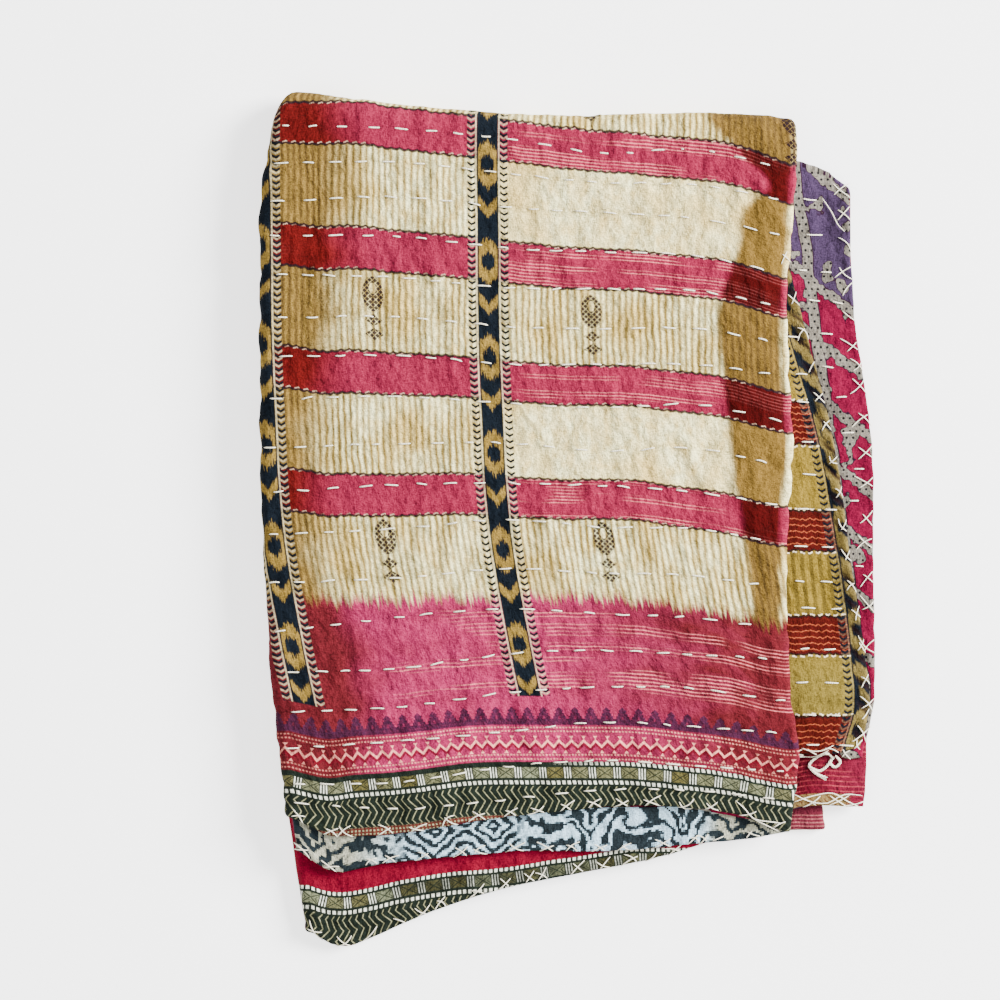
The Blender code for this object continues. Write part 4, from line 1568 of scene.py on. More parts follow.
@dataclass(frozen=True)
class RedRows:
    """The red rows above the border: dotted lines, zigzag with triangles, and the stepped dark motifs."""

    line: Colour = dye(250, 158, 140)
    shade: Colour = dye(96, 9, 26)
    motif: Colour = dye(56, 24, 46)
    zigzag_pitch: float = 9.6
    zigzag_height: float = 5.2
    motif_pitch: float = 12.6

    def print_on(self, loom: Loom, u: Value, v: Value, sunlit: Value) -> None:
        """Prints the rows from v = 48 to 95 on the red ground.

        Args:
            loom: The material.
            u: Across.
            v: Up from the hem.
            sunlit: 1 where sunlight is painted; where shade is painted instead, the pale marks are weaker.
        """
        # The pale marks are weaker where shade is painted.
        strength = 0.6 + sunlit * 0.3
        dots = u.lines(2.6, 0.7, 0.7)
        low = v.between(49.6, 50.8, 0.5).at_least(v.between(53, 54.2, 0.5))
        high = v.between(73.2, 74.4, 0.5).at_least(v.between(76.4, 77.6, 0.5))
        loom.lay(dots * low.at_least(high) * strength * 0.7, self.line)
        lean = loom.attribute(LEAN)
        slope = 2 * self.zigzag_height / self.zigzag_pitch
        wave = (u + lean * (v - 62) + loom.waver(u, 30, 2, 3)).fold(self.zigzag_pitch)
        zigzag = abs(v - 60.6 - wave * slope)
        loom.lay(abs(v - 57.6 - wave * slope).below(1.4, 1) * 0.8, self.shade)
        loom.lay(zigzag.below(1.25, 0.7) * strength, self.line)
        up = (v - 55 + wave * 1.5).below(2.6, 0.6) * v.above(55, 0.5)
        crest = self.zigzag_pitch / 2 - wave
        down = (69.8 - v + crest * 1.5).below(2.6, 0.6) * v.below(69.8, 0.5)
        loom.lay(up.at_least(down) * strength * 0.9, self.line)
        step = (v - 82.4).cell(2.4) * 2.4
        place = (u + lean * (v - 86)).fold(self.motif_pitch)
        body = place.below(6.3 - step * 0.5, 0.7) * v.between(82, 91.8, 0.7)
        hollow = place.below(1.2 - step * 0.2, 0.6) * v.between(84.4, 87, 0.6)
        crown = (place + abs(v - 91.6)).below(3.4, 0.7)
        uneven = loom.noise(u * 0.4, v * 0.4, 1, 6)
        solid = v.between(79.2, 84, 0.8)
        motif = (body * (1 - hollow * 0.5)).at_least(crown).at_least(solid)
        loom.lay(motif * (0.66 + uneven * 0.5), self.motif)


# ---- finishes of the face cloth


@dataclass(frozen=True)
class SariCotton:
    """What both finishes of the panel share: the dyes, the reds in painted sunlit and shaded copies, the
    raspberry end and its pale weft lines.
    """

    shaded_red: Colour = dye(86, 15, 14)
    right_shaded_red: Colour = dye(60, 6, 6)
    sunlit_red: Colour = dye(132, 31, 57)
    raspberry: Colour = dye(157, 41, 82)
    blotch_and_shade_raspberry: Colour = dye(91, 24, 31)
    weft: Colour = dye(255, 136, 136)

    def lay_raspberry(self, loom: Loom, u: Value, v: Value, sunlit: Value, mask: Value | float) -> None:
        """The raspberry end of the cloth: dark where shade is painted at the sides and bright where sunlight is
        painted in the middle, with darker blotches, darker towards the right, and groups of pale weft lines.
        """
        blotches = loom.noise(u * 0.028, v * 0.05, 2, 31)
        sided = u.above(270, 150) * 0.8
        # Painted light: the bright raspberry is the sunlit copy, the dark one the shaded copy, which also gives
        # the blotches.
        loom.lay(mask, loom.mix(sunlit * (1.34 - blotches - sided), self.blotch_and_shade_raspberry, self.raspberry))
        groups = loom.noise(u * 0.005, v * 0.09, 0, 12)
        reach = loom.noise(u * 0.022, v * 0.03, 1, 13)
        lines = (v + loom.waver(u, 30, 2, 21)).lines(3.2, 0.5, 0.6)
        right = u.above(150, 90).at_least(u.between(78, 150, 20) * v.below(135, 8))
        shown = groups.above(0.5, 0.08) * reach.above(0.44, 0.16) * v.between(108, 182, 10)
        loom.lay(lines * shown * right * mask * 0.6, self.weft)


@dataclass(frozen=True)
class FieldFinish(SariCotton):
    """The field of the front panel: red and beige rows, two ikat bands and small dotted motifs."""

    band_places: Pair = (0, 182)
    band_end: float = 104
    red_rows: tuple[Pair, ...] = ((257.5, 290.5), (354.5, 388), (453, 487), (553, 586))
    repeat: float = 100
    repeat_from: float = 640
    repeat_red: Pair = (651, 687)
    plain_rows: tuple[Pair, ...] = ((290.5, 354.5), (487, 553))
    motifs: tuple[Pair, ...] = ((89.5, 433), (264, 433), (89.5, 240), (264, 240), (264, 630), (426, 622))
    stripe_pitch: float = 5.2
    scallop_pitch: float = 7
    ikat_end: float = 190
    shaded_beige: Colour = dye(132, 105, 50)
    right_shaded_beige: Colour = dye(109, 84, 36)
    shaded_stripe: Colour = dye(84, 64, 30)
    sunlit_beige: Colour = dye(255, 250, 190)
    warm_beige: Colour = dye(216, 188, 116)
    wrinkle_shade: Colour = dye(186, 164, 112)
    sunlit_stripe: Colour = dye(132, 110, 56)
    thread: Colour = dye(26, 14, 22)
    dash: Colour = dye(230, 190, 160)

    def make(self) -> Material:
        """The finished material."""
        loom = Loom("printed_sari_cotton")
        u, v = loom.pattern()
        # 1 where sunlight is painted, 0 where shade is painted.
        sunlit = 1 - loom.attribute(PAINTED_SHADE)
        scallops = abs((u * (np.pi / self.scallop_pitch)).maths("SINE"))
        row = v + loom.waver(u, 28, 2, 0) + scallops * 1.1
        inside = self.inside_red(row)
        self.lay_beige(loom, u, v, sunlit)
        red = inside.above(0, 0.9)
        # Painted light: the red is a shaded copy at the sides, darkest on the right, and a sunlit copy in the
        # middle.
        in_shade = loom.mix(u.above(250, 100), self.shaded_red, self.right_shaded_red)
        loom.lay(red, loom.mix(sunlit, in_shade, self.sunlit_red))
        self.lay_wefts(loom, u, v, sunlit, red)
        loom.lay(abs(inside + 0.1).below(1.15, 0.7) * 0.92, self.thread)
        dashes = abs(inside - 0.9).below(0.45, 0.6) * (u + 1).lines(self.scallop_pitch, 1.9, 0.6)
        loom.lay(dashes * loom.noise(u * 0.05, v * 0.05, 0, 40).above(0.5, 0.2) * 0.6, self.dash)
        streak = (loom.noise(u * 0.5, 0, 2, 2.7) - 0.5) * 30 + loom.waver(u, 17, 10, 5)
        self.lay_raspberry(loom, u, v, sunlit, (v + streak).below(self.ikat_end, 9))
        for place, row_place in self.motifs:
            self.lay_motif(loom, u - place, v - row_place)
        for place in self.band_places:
            IkatBand().print_on(loom, u - place, v, v.above(self.band_end, 0.8))
        return loom.weave(u, v)

    def inside_red(self, row: Value) -> Value:
        """How far a row coordinate lies inside the nearest red row."""
        repeated = (row - self.repeat_from).wrap(0, self.repeat) + self.repeat_from
        inside = repeated.inside(*self.repeat_red) - row.below(self.repeat_from, 1) * 100
        for low, high in self.red_rows:
            inside = inside.at_least(row.inside(low, high))
        return inside

    def lay_beige(self, loom: Loom, u: Value, v: Value, sunlit: Value) -> None:
        """The beige ground with fine upright stripes, which two rows lack beyond the second band. Ground and
        stripes come in painted sunlit and shaded copies, and the plain rows carry streaks of painted wrinkle
        shade.
        """
        wander = (loom.noise(u * 0.03, v * 0.015, 1, 1) - 0.5) * 6
        wander = wander + (loom.noise(u * 0.1, v * 0.09, 1, 2) - 0.5) * 2.2
        plain = v.between(*self.plain_rows[0], 2).at_least(v.between(*self.plain_rows[1], 2))
        plain = plain * u.above(self.band_places[1] + 8, 1)
        mottle = loom.noise(u * 0.035, v * 0.025, 2, 4.4)
        stripe = ((u + wander).sine(self.stripe_pitch) * 0.5 + 0.5) * (1 - plain * 0.85) * (0.42 + mottle)
        warm = mottle + loom.noise(u * 0.022, v * 0.01, 1, 9) - 0.4
        flecks = loom.noise(u * 0.13, v * 0.075, 3, 14).above(0.52, 0.28) * 0.8
        warmth = warm.above(0.66, 0.4).at_least(flecks)
        # Painted shade: soft upright streaks of darker beige in the plain rows, the shade of wrinkles.
        wrinkle_shading = loom.noise(u * 0.085, v * 0.032, 3, 17).above(0.5, 0.26) * plain
        faint = loom.mix(wrinkle_shading * 0.62, self.sunlit_beige, self.wrinkle_shade)
        # Painted light: the beige and its stripes are shaded copies at the sides, darkest on the right, and
        # sunlit copies in the middle.
        in_shade = loom.mix(u.above(250, 100), self.shaded_beige, self.right_shaded_beige)
        ground = loom.mix(sunlit, in_shade, loom.mix(warmth, faint, self.warm_beige))
        loom.colour = loom.mix(stripe, ground, loom.mix(sunlit, self.shaded_stripe, self.sunlit_stripe))

    def lay_wefts(self, loom: Loom, u: Value, v: Value, sunlit: Value, red: Value) -> None:
        """Groups of pale weft lines that come and go along the red rows, most beyond the second band."""
        groups = loom.noise(u * 0.004, v * 0.085, 0, 12)
        reach = loom.noise(u * 0.02, v * 0.03, 1, 13)
        # The pale lines are dimmer where shade is painted.
        lines = (v + loom.waver(u, 20, 1, 21)).lines(2.7, 0.42, 0.6) * (0.12 + sunlit * 0.88)
        beyond = u.above(self.band_places[1] + 16, 6)
        near_band = beyond * u.below(self.band_places[1] + 60, 50)
        shown = (groups + near_band * 0.12).above(0.54, 0.06) * reach.above(0.44, 0.14)
        loom.lay(lines * shown * red * beyond.at_least(u.below(24, 16) * 0.3) * 0.6, self.weft)

    def lay_motif(self, loom: Loom, u: Value, v: Value) -> None:
        """A motif of fine dark dots: a hollow oval over two small crosses on a stem."""
        slanted = u + v * 0.03
        oval = ((slanted / 8.4).squared() + (v / 14).squared()).below(1, 0.15)
        hollow = ((slanted / 2.8).squared() + ((v - 4.5) / 4.6).squared()).below(1, 0.5)
        upper = (abs(slanted) * 0.7 + abs(v + 21)).below(4.8, 0.8)
        lower = (abs(slanted) * 0.7 + abs(v + 32)).below(5.2, 0.8)
        stem = abs(slanted).below(0.7, 0.6) * v.between(-42, 0, 0.8)
        dots = (slanted + v).lines(4.4, 1.75, 0.8) * (slanted - v).lines(4.4, 1.75, 0.8)
        shape = (oval * (1 - hollow)).at_least(upper).at_least(lower)
        loom.lay((shape * (dots * 1.6 + 0.1)).at_most(1).at_least(stem * 0.7) * 0.95, self.thread)


@dataclass(frozen=True)
class BorderFinish(SariCotton):
    """The lower end of the front panel: raspberry, then the red rows and the border down to the hem."""

    pale_dots_from: float = 215

    def make(self) -> Material:
        """The finished material."""
        loom = Loom("printed_sari_border")
        u, v = loom.pattern()
        # 1 where sunlight is painted, 0 where shade is painted.
        sunlit = 1 - loom.attribute(PAINTED_SHADE)
        self.lay_raspberry(loom, u, v, sunlit, 1)
        RedRows().print_on(loom, u, v, sunlit)
        BorderRows().print_on(loom, u, v, u.above(self.pale_dots_from, 60))
        return loom.weave(u, v)


@dataclass(frozen=True)
class InnerFlapFinish:
    """The strip beside the panel: beige, stripes and wavy-lined red rows, and an ikat band along its edge."""

    red_rows: tuple[Pair, ...] = (
        (-190, -158.8), (-109.2, -78.8), (-26, 6), (59.6, 94), (146, 182), (236, 270),
    )
    striped: Pair = (-78.8, -26)
    band_place: float = 1
    lobe_pitch: float = 21
    band_swing: float = 0.03
    stripe_pitch: float = 7.4
    beige: Colour = dye(122, 101, 36)
    olive: Colour = dye(76, 62, 22)
    green: Colour = dye(104, 90, 38)
    red: Colour = dye(66, 13, 9)
    orange: Colour = dye(170, 82, 50)
    thread: Colour = dye(28, 14, 16)
    dash: Colour = dye(255, 236, 200)

    def make(self) -> Material:
        """The finished material."""
        loom = Loom("inner_flap_cotton")
        u, v = loom.pattern()
        wave = v + loom.waver(u, 4.5, 2.6, 2) + loom.waver(u, 12, 2, 6)
        loom.colour = loom.mix(wave.below(-109.2, 40) * 0.8, self.beige, self.green)
        stripe = (u + v * 0.04 + loom.waver(v, 20, 1, 4)).sine(self.stripe_pitch).above(0.1, 0.9)
        loom.lay(stripe * wave.between(*self.striped, 1) * 0.8, self.olive)
        inside = wave * 0 - 100
        for low, high in self.red_rows:
            inside = inside.at_least(wave.inside(low, high))
        loom.lay(inside.above(0, 0.9), self.red)
        lines = (wave + 0.8).lines(5, 0.42, 0.6) * inside.above(2.6, 0.6)
        loom.lay(lines * 0.7, self.orange)
        loom.lay(abs(inside).below(0.9, 0.7) * 0.9, self.thread)
        dashes = abs(inside + 1.5).below(0.6, 0.5) * u.lines(6.4, 1.8, 0.6)
        loom.lay(dashes * 0.8, self.dash)
        band = IkatBand(rim_line=0.1, flame=dye(112, 96, 50))
        band.print_on(loom, u - self.band_place - abs(v + 40) * self.band_swing, v, 1)
        lobes = (v - u * 0.9 + self.lobe_pitch / 2).fold(self.lobe_pitch)
        ragged = (loom.noise(u * 0.25, v * 0.12, 2, 4) - 0.5) * 7
        crests = (lobes + ragged).above(5.6, 2.5) * u.below(8, 2)
        crests = crests * loom.noise(0, v * 0.05, 0, 7).above(0.4, 0.2)
        loom.lay(crests * 0.9, band.flame)
        # Painted shade: the dark thread colour fills the hollows between the lobes of the rope-like edge.
        loom.lay(lobes.below(2.6, 3.8) * u.below(9, 6) * 0.85, self.thread)
        return loom.weave(u, v)


@dataclass(frozen=True)
class FlapEndFinish:
    """The pink end of the flap's rear, with pale lines along its hem."""

    ground: Colour = dye(84, 25, 38)
    line: Colour = dye(156, 88, 88)

    def make(self) -> Material:
        """The finished material."""
        loom = Loom("pink_lined_cotton")
        u, v = loom.pattern()
        loom.colour = loom.mix(loom.noise(u * 0.03, v * 0.03, 2), self.ground, dye(100, 34, 48))
        lines = (v + loom.waver(u, 20, 0.8, 2)).lines(2.9, 0.55, 0.6) * v.below(13, 1)
        loom.lay(lines * 0.75, self.line)
        return loom.weave(u, v)


@dataclass(frozen=True)
class BorderEndFinish:
    """The border at the wrap's rear hem: plain crimson above the same printed rows."""

    rows_above_line: float = 46.8
    crimson: Colour = dye(98, 6, 24)
    bright: Colour = dye(122, 9, 40)

    def make(self) -> Material:
        """The finished material."""
        loom = Loom("wrap_border_cotton")
        u, v = loom.pattern()
        loom.colour = loom.mix(loom.noise(u * 0.02, v * 0.04, 2), self.crimson, self.bright)
        rows = BorderRows()
        rows.print_on(loom, u, v + self.rows_above_line, 1)
        worn = u.above(-150, 60) * (v + self.rows_above_line).between(33, 45, 1)
        loom.lay(worn * (0.3 + loom.noise(u * 0.09, v * 0.09, 1, 3) * 0.6), rows.ground)
        return loom.weave(u, v)


@dataclass(frozen=True)
class CrimsonEndFinish:
    """The wrap's rear beyond its border: crimson with faint lines and a pale strip along the hem."""

    left: Colour = dye(76, 8, 20)
    right: Colour = dye(103, 20, 42)
    strip: Colour = dye(128, 108, 66)
    strip_height: float = 9.6

    def make(self) -> Material:
        """The finished material."""
        loom = Loom("crimson_end_cotton")
        u, v = loom.pattern()
        loom.colour = loom.mix(u.above(205, 60), self.left, self.right)
        faint = (v + loom.waver(u, 30, 1, 2)).lines(4, 0.5, 0.6)
        loom.lay(faint * loom.noise(u * 0.03, v * 0.05, 1).above(0.5, 0.2) * 0.3, dye(220, 90, 96))
        strip = v.below(self.strip_height, 0.8) * u.below(224, 6)
        loom.lay(strip * 0.9, self.strip)
        marks = (u + v).lines(5, 0.8, 0.8) * loom.noise(u * 0.2, v * 0.2, 1, 5).above(0.45, 0.2)
        loom.lay(strip * marks * 0.7, dye(80, 30, 20))
        return loom.weave(u, v)


# ---- finishes of the backing


@dataclass(frozen=True)
class LeafFinish:
    """The backing's leaf print: dark strokes on a pale ground, with stepped diamonds in the middle."""

    pale: Colour = dye(176, 208, 226)
    cream: Colour = dye(160, 160, 140)
    dark: Colour = dye(30, 38, 42)
    diamond_pitch: float = 48
    diamond_place: float = -61
    mirror_pitch: float = 74
    mirror_place: float = 16
    diamond_middle: float = 21
    diamonds: Pair = (-136, -38)

    def make(self) -> Material:
        """The finished material.

        The diamonds are rings |u'| + |v'| = k pitch on stepped coordinates, the strokes bands of a wave
        whose direction noise turns.
        """
        loom = Loom("leaf_print_cotton")
        u, v = loom.pattern()
        ends = u.below(-150, 50).at_least(u.above(112, 16))
        ground = loom.mix(ends, self.pale, self.cream)
        stepped_u, stepped_v = u.cell(1.5) * 1.5, v.cell(1.5) * 1.5
        half = self.diamond_pitch / 2
        around = abs((stepped_u - self.diamond_place).wrap(-half, half)) * 0.8
        ragged = loom.noise(stepped_u * 0.12, stepped_v * 0.12, 1, 3)
        rings = (around + abs(stepped_v - self.diamond_middle) + ragged * 9).lines(8.2, 2.25, 0.7)
        mirrored = (stepped_u - self.mirror_place).fold(self.mirror_pitch)
        bend = loom.noise(stepped_u * 0.035, stepped_v * 0.035, 1, 2)
        course = stepped_v * 0.62 - mirrored * 1.25 + mirrored * mirrored * 0.02 + bend * 40 + ragged * 16
        strokes = course.fold(11.4).below(loom.noise(u * 0.07, v * 0.07, 1, 9) * 7 - 0.4, 0.8)
        in_diamonds = u.between(*self.diamonds, 10)
        loom.colour = loom.mix(strokes.towards(rings, in_diamonds), ground, self.dark)
        return loom.weave(u, v)


@dataclass(frozen=True)
class BranchFinish:
    """The backing's branch print: grey dotted branches with dark outlines over purple and pink."""

    purple: Colour = dye(58, 44, 67)
    pink: Colour = dye(120, 13, 50)
    deep_pink: Colour = dye(88, 9, 34)
    branch: Colour = dye(112, 106, 96)
    outline: Colour = dye(34, 12, 30)
    dot: Colour = dye(22, 22, 24)
    purple_above: float = 193
    trunk: float = 219
    trunk_lean: float = -0.135
    bough_pitch: float = 50
    dot_pitch: float = 5.2

    def make(self) -> Material:
        """The finished material.

        Branches are where |u - trunk(v)| is small, where v + slope u nears a multiple of the boughs'
        pitch, or where soft noise is high.
        """
        loom = Loom("branch_print_cotton")
        u, v = loom.pattern()
        pinks = loom.mix(loom.noise(u * 0.06, v * 0.06, 1, 3), self.deep_pink, self.pink)
        aside = u - self.trunk - v * self.trunk_lean
        trunk = abs(aside - loom.waver(v, 40, 3.5, 5)) - 4.2
        climb = v + aside * 0.85 + loom.waver(u, 14, 5, 8) - self.purple_above
        loom.colour = loom.mix(climb.above(0, 2), pinks, self.purple)
        boughs = climb.fold(self.bough_pitch) - 5 + climb.between(25, 82, 6) * 12
        coarse = loom.noise(u * 0.06, v * 0.05, 1, 11)
        leaves = (0.62 - coarse) * 50
        step = (loom.noise(u * 0.22, v * 0.22, 0, 15) - 0.5) * 6
        distance = trunk.at_most(boughs.at_most(leaves) + step)
        loom.lay(distance.below(0.9, 0.6), self.outline)
        inside = distance.below(0, 0.6)
        loom.lay(inside, self.branch)
        shifted = u + v.cell(self.dot_pitch) * (self.dot_pitch / 2)
        dots = shifted.fold(self.dot_pitch).squared() + (v + self.dot_pitch / 2).fold(self.dot_pitch).squared()
        dots = dots.below(1.1, 0.8)
        loom.lay(dots * inside, self.dot)
        return loom.weave(u, v)


# ---- threads


def densify(points: Array, times: tuple[int, int]) -> Array:
    """A grid of points with more columns and lines, blended straight between its neighbours."""
    for axis in (0, 1):
        count = points.shape[axis]
        at = np.linspace(0, count - 1, (count - 1) * times[axis] + 1)
        near = np.minimum(at.astype(int), count - 2)
        share = (at - near).reshape([-1 if k == axis else 1 for k in range(3)])
        points = np.take(points, near, axis) * (1 - share) + np.take(points, near + 1, axis) * share
    return points


class TopSide:
    """The heights of the dressed quilt seen from above, for the threads that lie on it."""

    def __init__(self, cloths: Sequence[Cloth], cell: float = 1.2, margin: int = 12) -> None:
        """Keeps the highest point of the outer sides in each square cell, a little smoothed."""
        clouds = []
        for cloth in cloths:
            outer, fine = cloth.outer_side(), int(cloth.surface.front().sum())
            halves = (densify(outer[:, :fine], (8, 4)), densify(outer[:, fine - 1 :], (8, 20)))
            clouds += [half.reshape(-1, 3) for half in halves]
        clouds = join(clouds)
        self.cell = cell
        self.corner = clouds[:, :2].min(axis=0) - margin * cell
        columns, rows = ((clouds[:, :2] - self.corner) / cell + 0.5).astype(int).T
        heights = np.zeros((columns.max() + margin, rows.max() + margin))
        np.maximum.at(heights, (columns, rows), clouds[:, 2])
        around = [np.roll(np.roll(heights, i, 0), j, 1) for i in (-1, 0, 1) for j in (-1, 0, 1)]
        self.heights = 0.5 * np.median(around, axis=0) + 0.5 * np.mean(around, axis=0)

    def at(self, x: Array, y: Array) -> Array:
        """The height at (x, y), blended between cells."""
        column, row = (x - self.corner[0]) / self.cell, (y - self.corner[1]) / self.cell
        i = np.clip(column.astype(int), 0, self.heights.shape[0] - 2)
        j = np.clip(row.astype(int), 0, self.heights.shape[1] - 2)
        s, t = np.clip(column - i, 0, 1), np.clip(row - j, 0, 1)
        return blend_cells(lambda a, b: self.heights[a, b], i, j, s, t)


@dataclass(frozen=True)
class ThreadFinish:
    """Cream cotton thread of two twisted plies."""

    colour: Colour = dye(255, 250, 228)
    shaded: Colour = dye(205, 180, 142)
    twist: float = 1.7

    def make(self) -> Material:
        """The finished material: u runs along the thread and v once round it."""
        loom = Loom("cream_cotton_thread", roughness=0.75, sheen=0.1)
        u, v = loom.pattern()
        plies = (u / self.twist + v).sine(1.0)
        shade = plies * 0.16 + loom.noise(u * 0.4, v * 2.0, 1.0) * 0.26
        loom.colour = loom.mix(shade, self.colour, self.shaded)
        return loom.finish(plies * 0.1)


@dataclass
class Strands:
    """Many short threads of equal point counts, made into one joined mesh of tubes."""

    radius: float = 0.6
    flatness: float = 0.8
    sides: int = 6
    tip: float = 0.35

    def make(self, name: str, paths: Array, material: Material) -> Object:
        """Builds the tubes: p + r (cos a S + f sin a U), with S beside the path and U above it.

        Args:
            name: The object's name.
            paths: Threads by points by 3.
            material: The finish.

        Returns:
            The object.
        """
        threads, points = paths.shape[:2]
        tangent = unit(np.gradient(paths, axis=1))
        beside = np.cross(tangent, [0.0, 0.0, 1.0])
        beside = beside / np.maximum(np.linalg.norm(beside, axis=-1, keepdims=True), 1e-6)
        above = np.cross(beside, tangent)
        share = np.linspace(0, 1, points)
        taper = self.tip + (1 - self.tip) * np.minimum(1.0, np.minimum(share, 1 - share) * 6) ** 0.5
        angle = 2 * np.pi * np.arange(self.sides) / self.sides
        ring = np.cos(angle)[:, None] * beside[:, :, None]
        ring = ring + self.flatness * np.sin(angle)[:, None] * above[:, :, None]
        tube = paths[:, :, None] + self.radius * taper[None, :, None, None] * ring
        index = np.arange(threads * points * self.sides).reshape(threads, points, self.sides)
        around = join([index, index[:, :, :1]], axis=2)
        walls = np.stack(
            [around[:, :-1, :-1], around[:, 1:, :-1], around[:, 1:, 1:], around[:, :-1, 1:]], axis=-1
        ).reshape(-1, 4)
        first, last = index[:, 0], index[:, -1, ::-1]
        caps = [end[:, corners] for end in (first, last) for corners in ([0, 1, 2, 3], [3, 4, 5, 0])]
        quads = join([walls, *caps])
        along = np.broadcast_to(travelled(paths, 1)[:, :, None], index.shape).ravel()[quads]
        turned = np.broadcast_to(np.arange(self.sides) / self.sides, index.shape).ravel()[quads]
        wrapped = (turned.max(axis=1, keepdims=True) - turned) > 0.5
        pairs = np.stack([along, turned + wrapped], axis=-1).reshape(-1, 2) * MM
        none = np.zeros((0, 3), int)
        return mesh_from(name, tube.reshape(-1, 3), quads, none, [material], None, {FIELD_MAP: pairs})


class Lay(NamedTuple):
    """A loose thread's point: x, y, and how many thread radii it lies above the cloth."""

    x: float
    y: float
    height: float


class EdgeStitches(NamedTuple):
    """Cross stitches over an edge: their range in X (hems) or Y (sides), and a cross's sizes."""

    start: float
    end: float
    pitch: float
    half_width: float
    depth: float
    overhang: float


INNER_FLAP_ROWS = (146.0, 116.0, 94.0, 62.0, 36.0, 8.0, -22.0, -50.0, -71.5, -104.0, -131.0, -157.0, -181.0)
WRAP_ROWS = (
    258.0, 230.0, 200.6, 176.6, 150.0, 122.8, 98.8, 70.0, 41.2, 15.0, -12.0, -38.0, -65.0, -92.0, -118.0,
    -144.0, -172.0,
)
HEM_STITCHES = (
    (PANEL_HEM, EdgeStitches(-220.0, 172.0, 24.0, 6.5, 7.0, 0.6)),
    (FLAP_HEM, EdgeStitches(-213.0, 150.0, 24.0, 7.0, 6.5, 0.8)),
    (INNER_FLAP_HEM, EdgeStitches(186.0, 218.0, 13.0, 7.0, 4.0, 0.4)),
    (WRAP_HEM, EdgeStitches(224.0, 234.0, 12.0, 4.0, 6.0, 0.4)),
    (REAR_WRAP_HEM, EdgeStitches(-199.0, 118.0, 20.5, 6.0, 8.0, 0.8)),
    (REAR_WRAP_HEM, EdgeStitches(178.0, 232.0, 17.0, 9.0, 8.0, 0.5)),
)
SIDE_STITCHES = (
    ("flap_edge", EdgeStitches(-182.0, 214.0, 25.6, 5.0, 6.5, 0.8)),
    ("wrap_edge", EdgeStitches(120.0, 274.0, 20.6, 6.0, 12.0, 1.0)),
    ("wrap_edge", EdgeStitches(-172.0, 112.0, 25.0, 6.5, 13.0, 1.0)),
)
LOOSE_THREADS = [
    table(Lay, (133.2, -226, 0.6), (140, -232, 1), (147, -240, 0.8), (156, -245, 1), (168, -251, 0.6)),
    table(Lay, (146, -240, 1.2), (153, -242, 1.4), (161, -243, 1.2), (170, -244.5, 0.8)),
    table(Lay, (186, -184, 0.6), (194, -186.5, 1), (203, -186, 1.2), (212, -182, 0.8)),
    table(Lay, (184, -191, 0.4), (196, -191.5, 0.8), (208, -186, 1)),
    table(Lay, (180, -221, 0.8), (192, -227, 1), (206, -229, 1), (222, -222, 1.2), (236, -223, 0.6)),
    table(Lay, (180, -228, 0.6), (196, -223, 1.4), (212, -221, 1.2), (226, -229, 0.8)),
    table(Lay, (204, 258, 0.6), (212, 246, 1.2), (217, 236, 1.6), (222, 231, 1)),
]
TIE_STRANDS = [
    table(
        Lay, (214, -190.5, 3.2), (218, -196, 1.6), (213.5, -200, 0), (210, -196.5, 0), (213, -191.5, 1.8),
    ),
    table(
        Lay, (213, -193.5, 0.4), (207, -188.6, 1.6), (200, -191.5, 0.6), (193, -199, 0), (196.5, -203.5, 0),
        (207, -209.5, 0),
    ),
    table(Lay, (193.5, -200, 0.9), (201, -203, 0), (207.5, -199, 0), (210.5, -194, 0.9)),
]


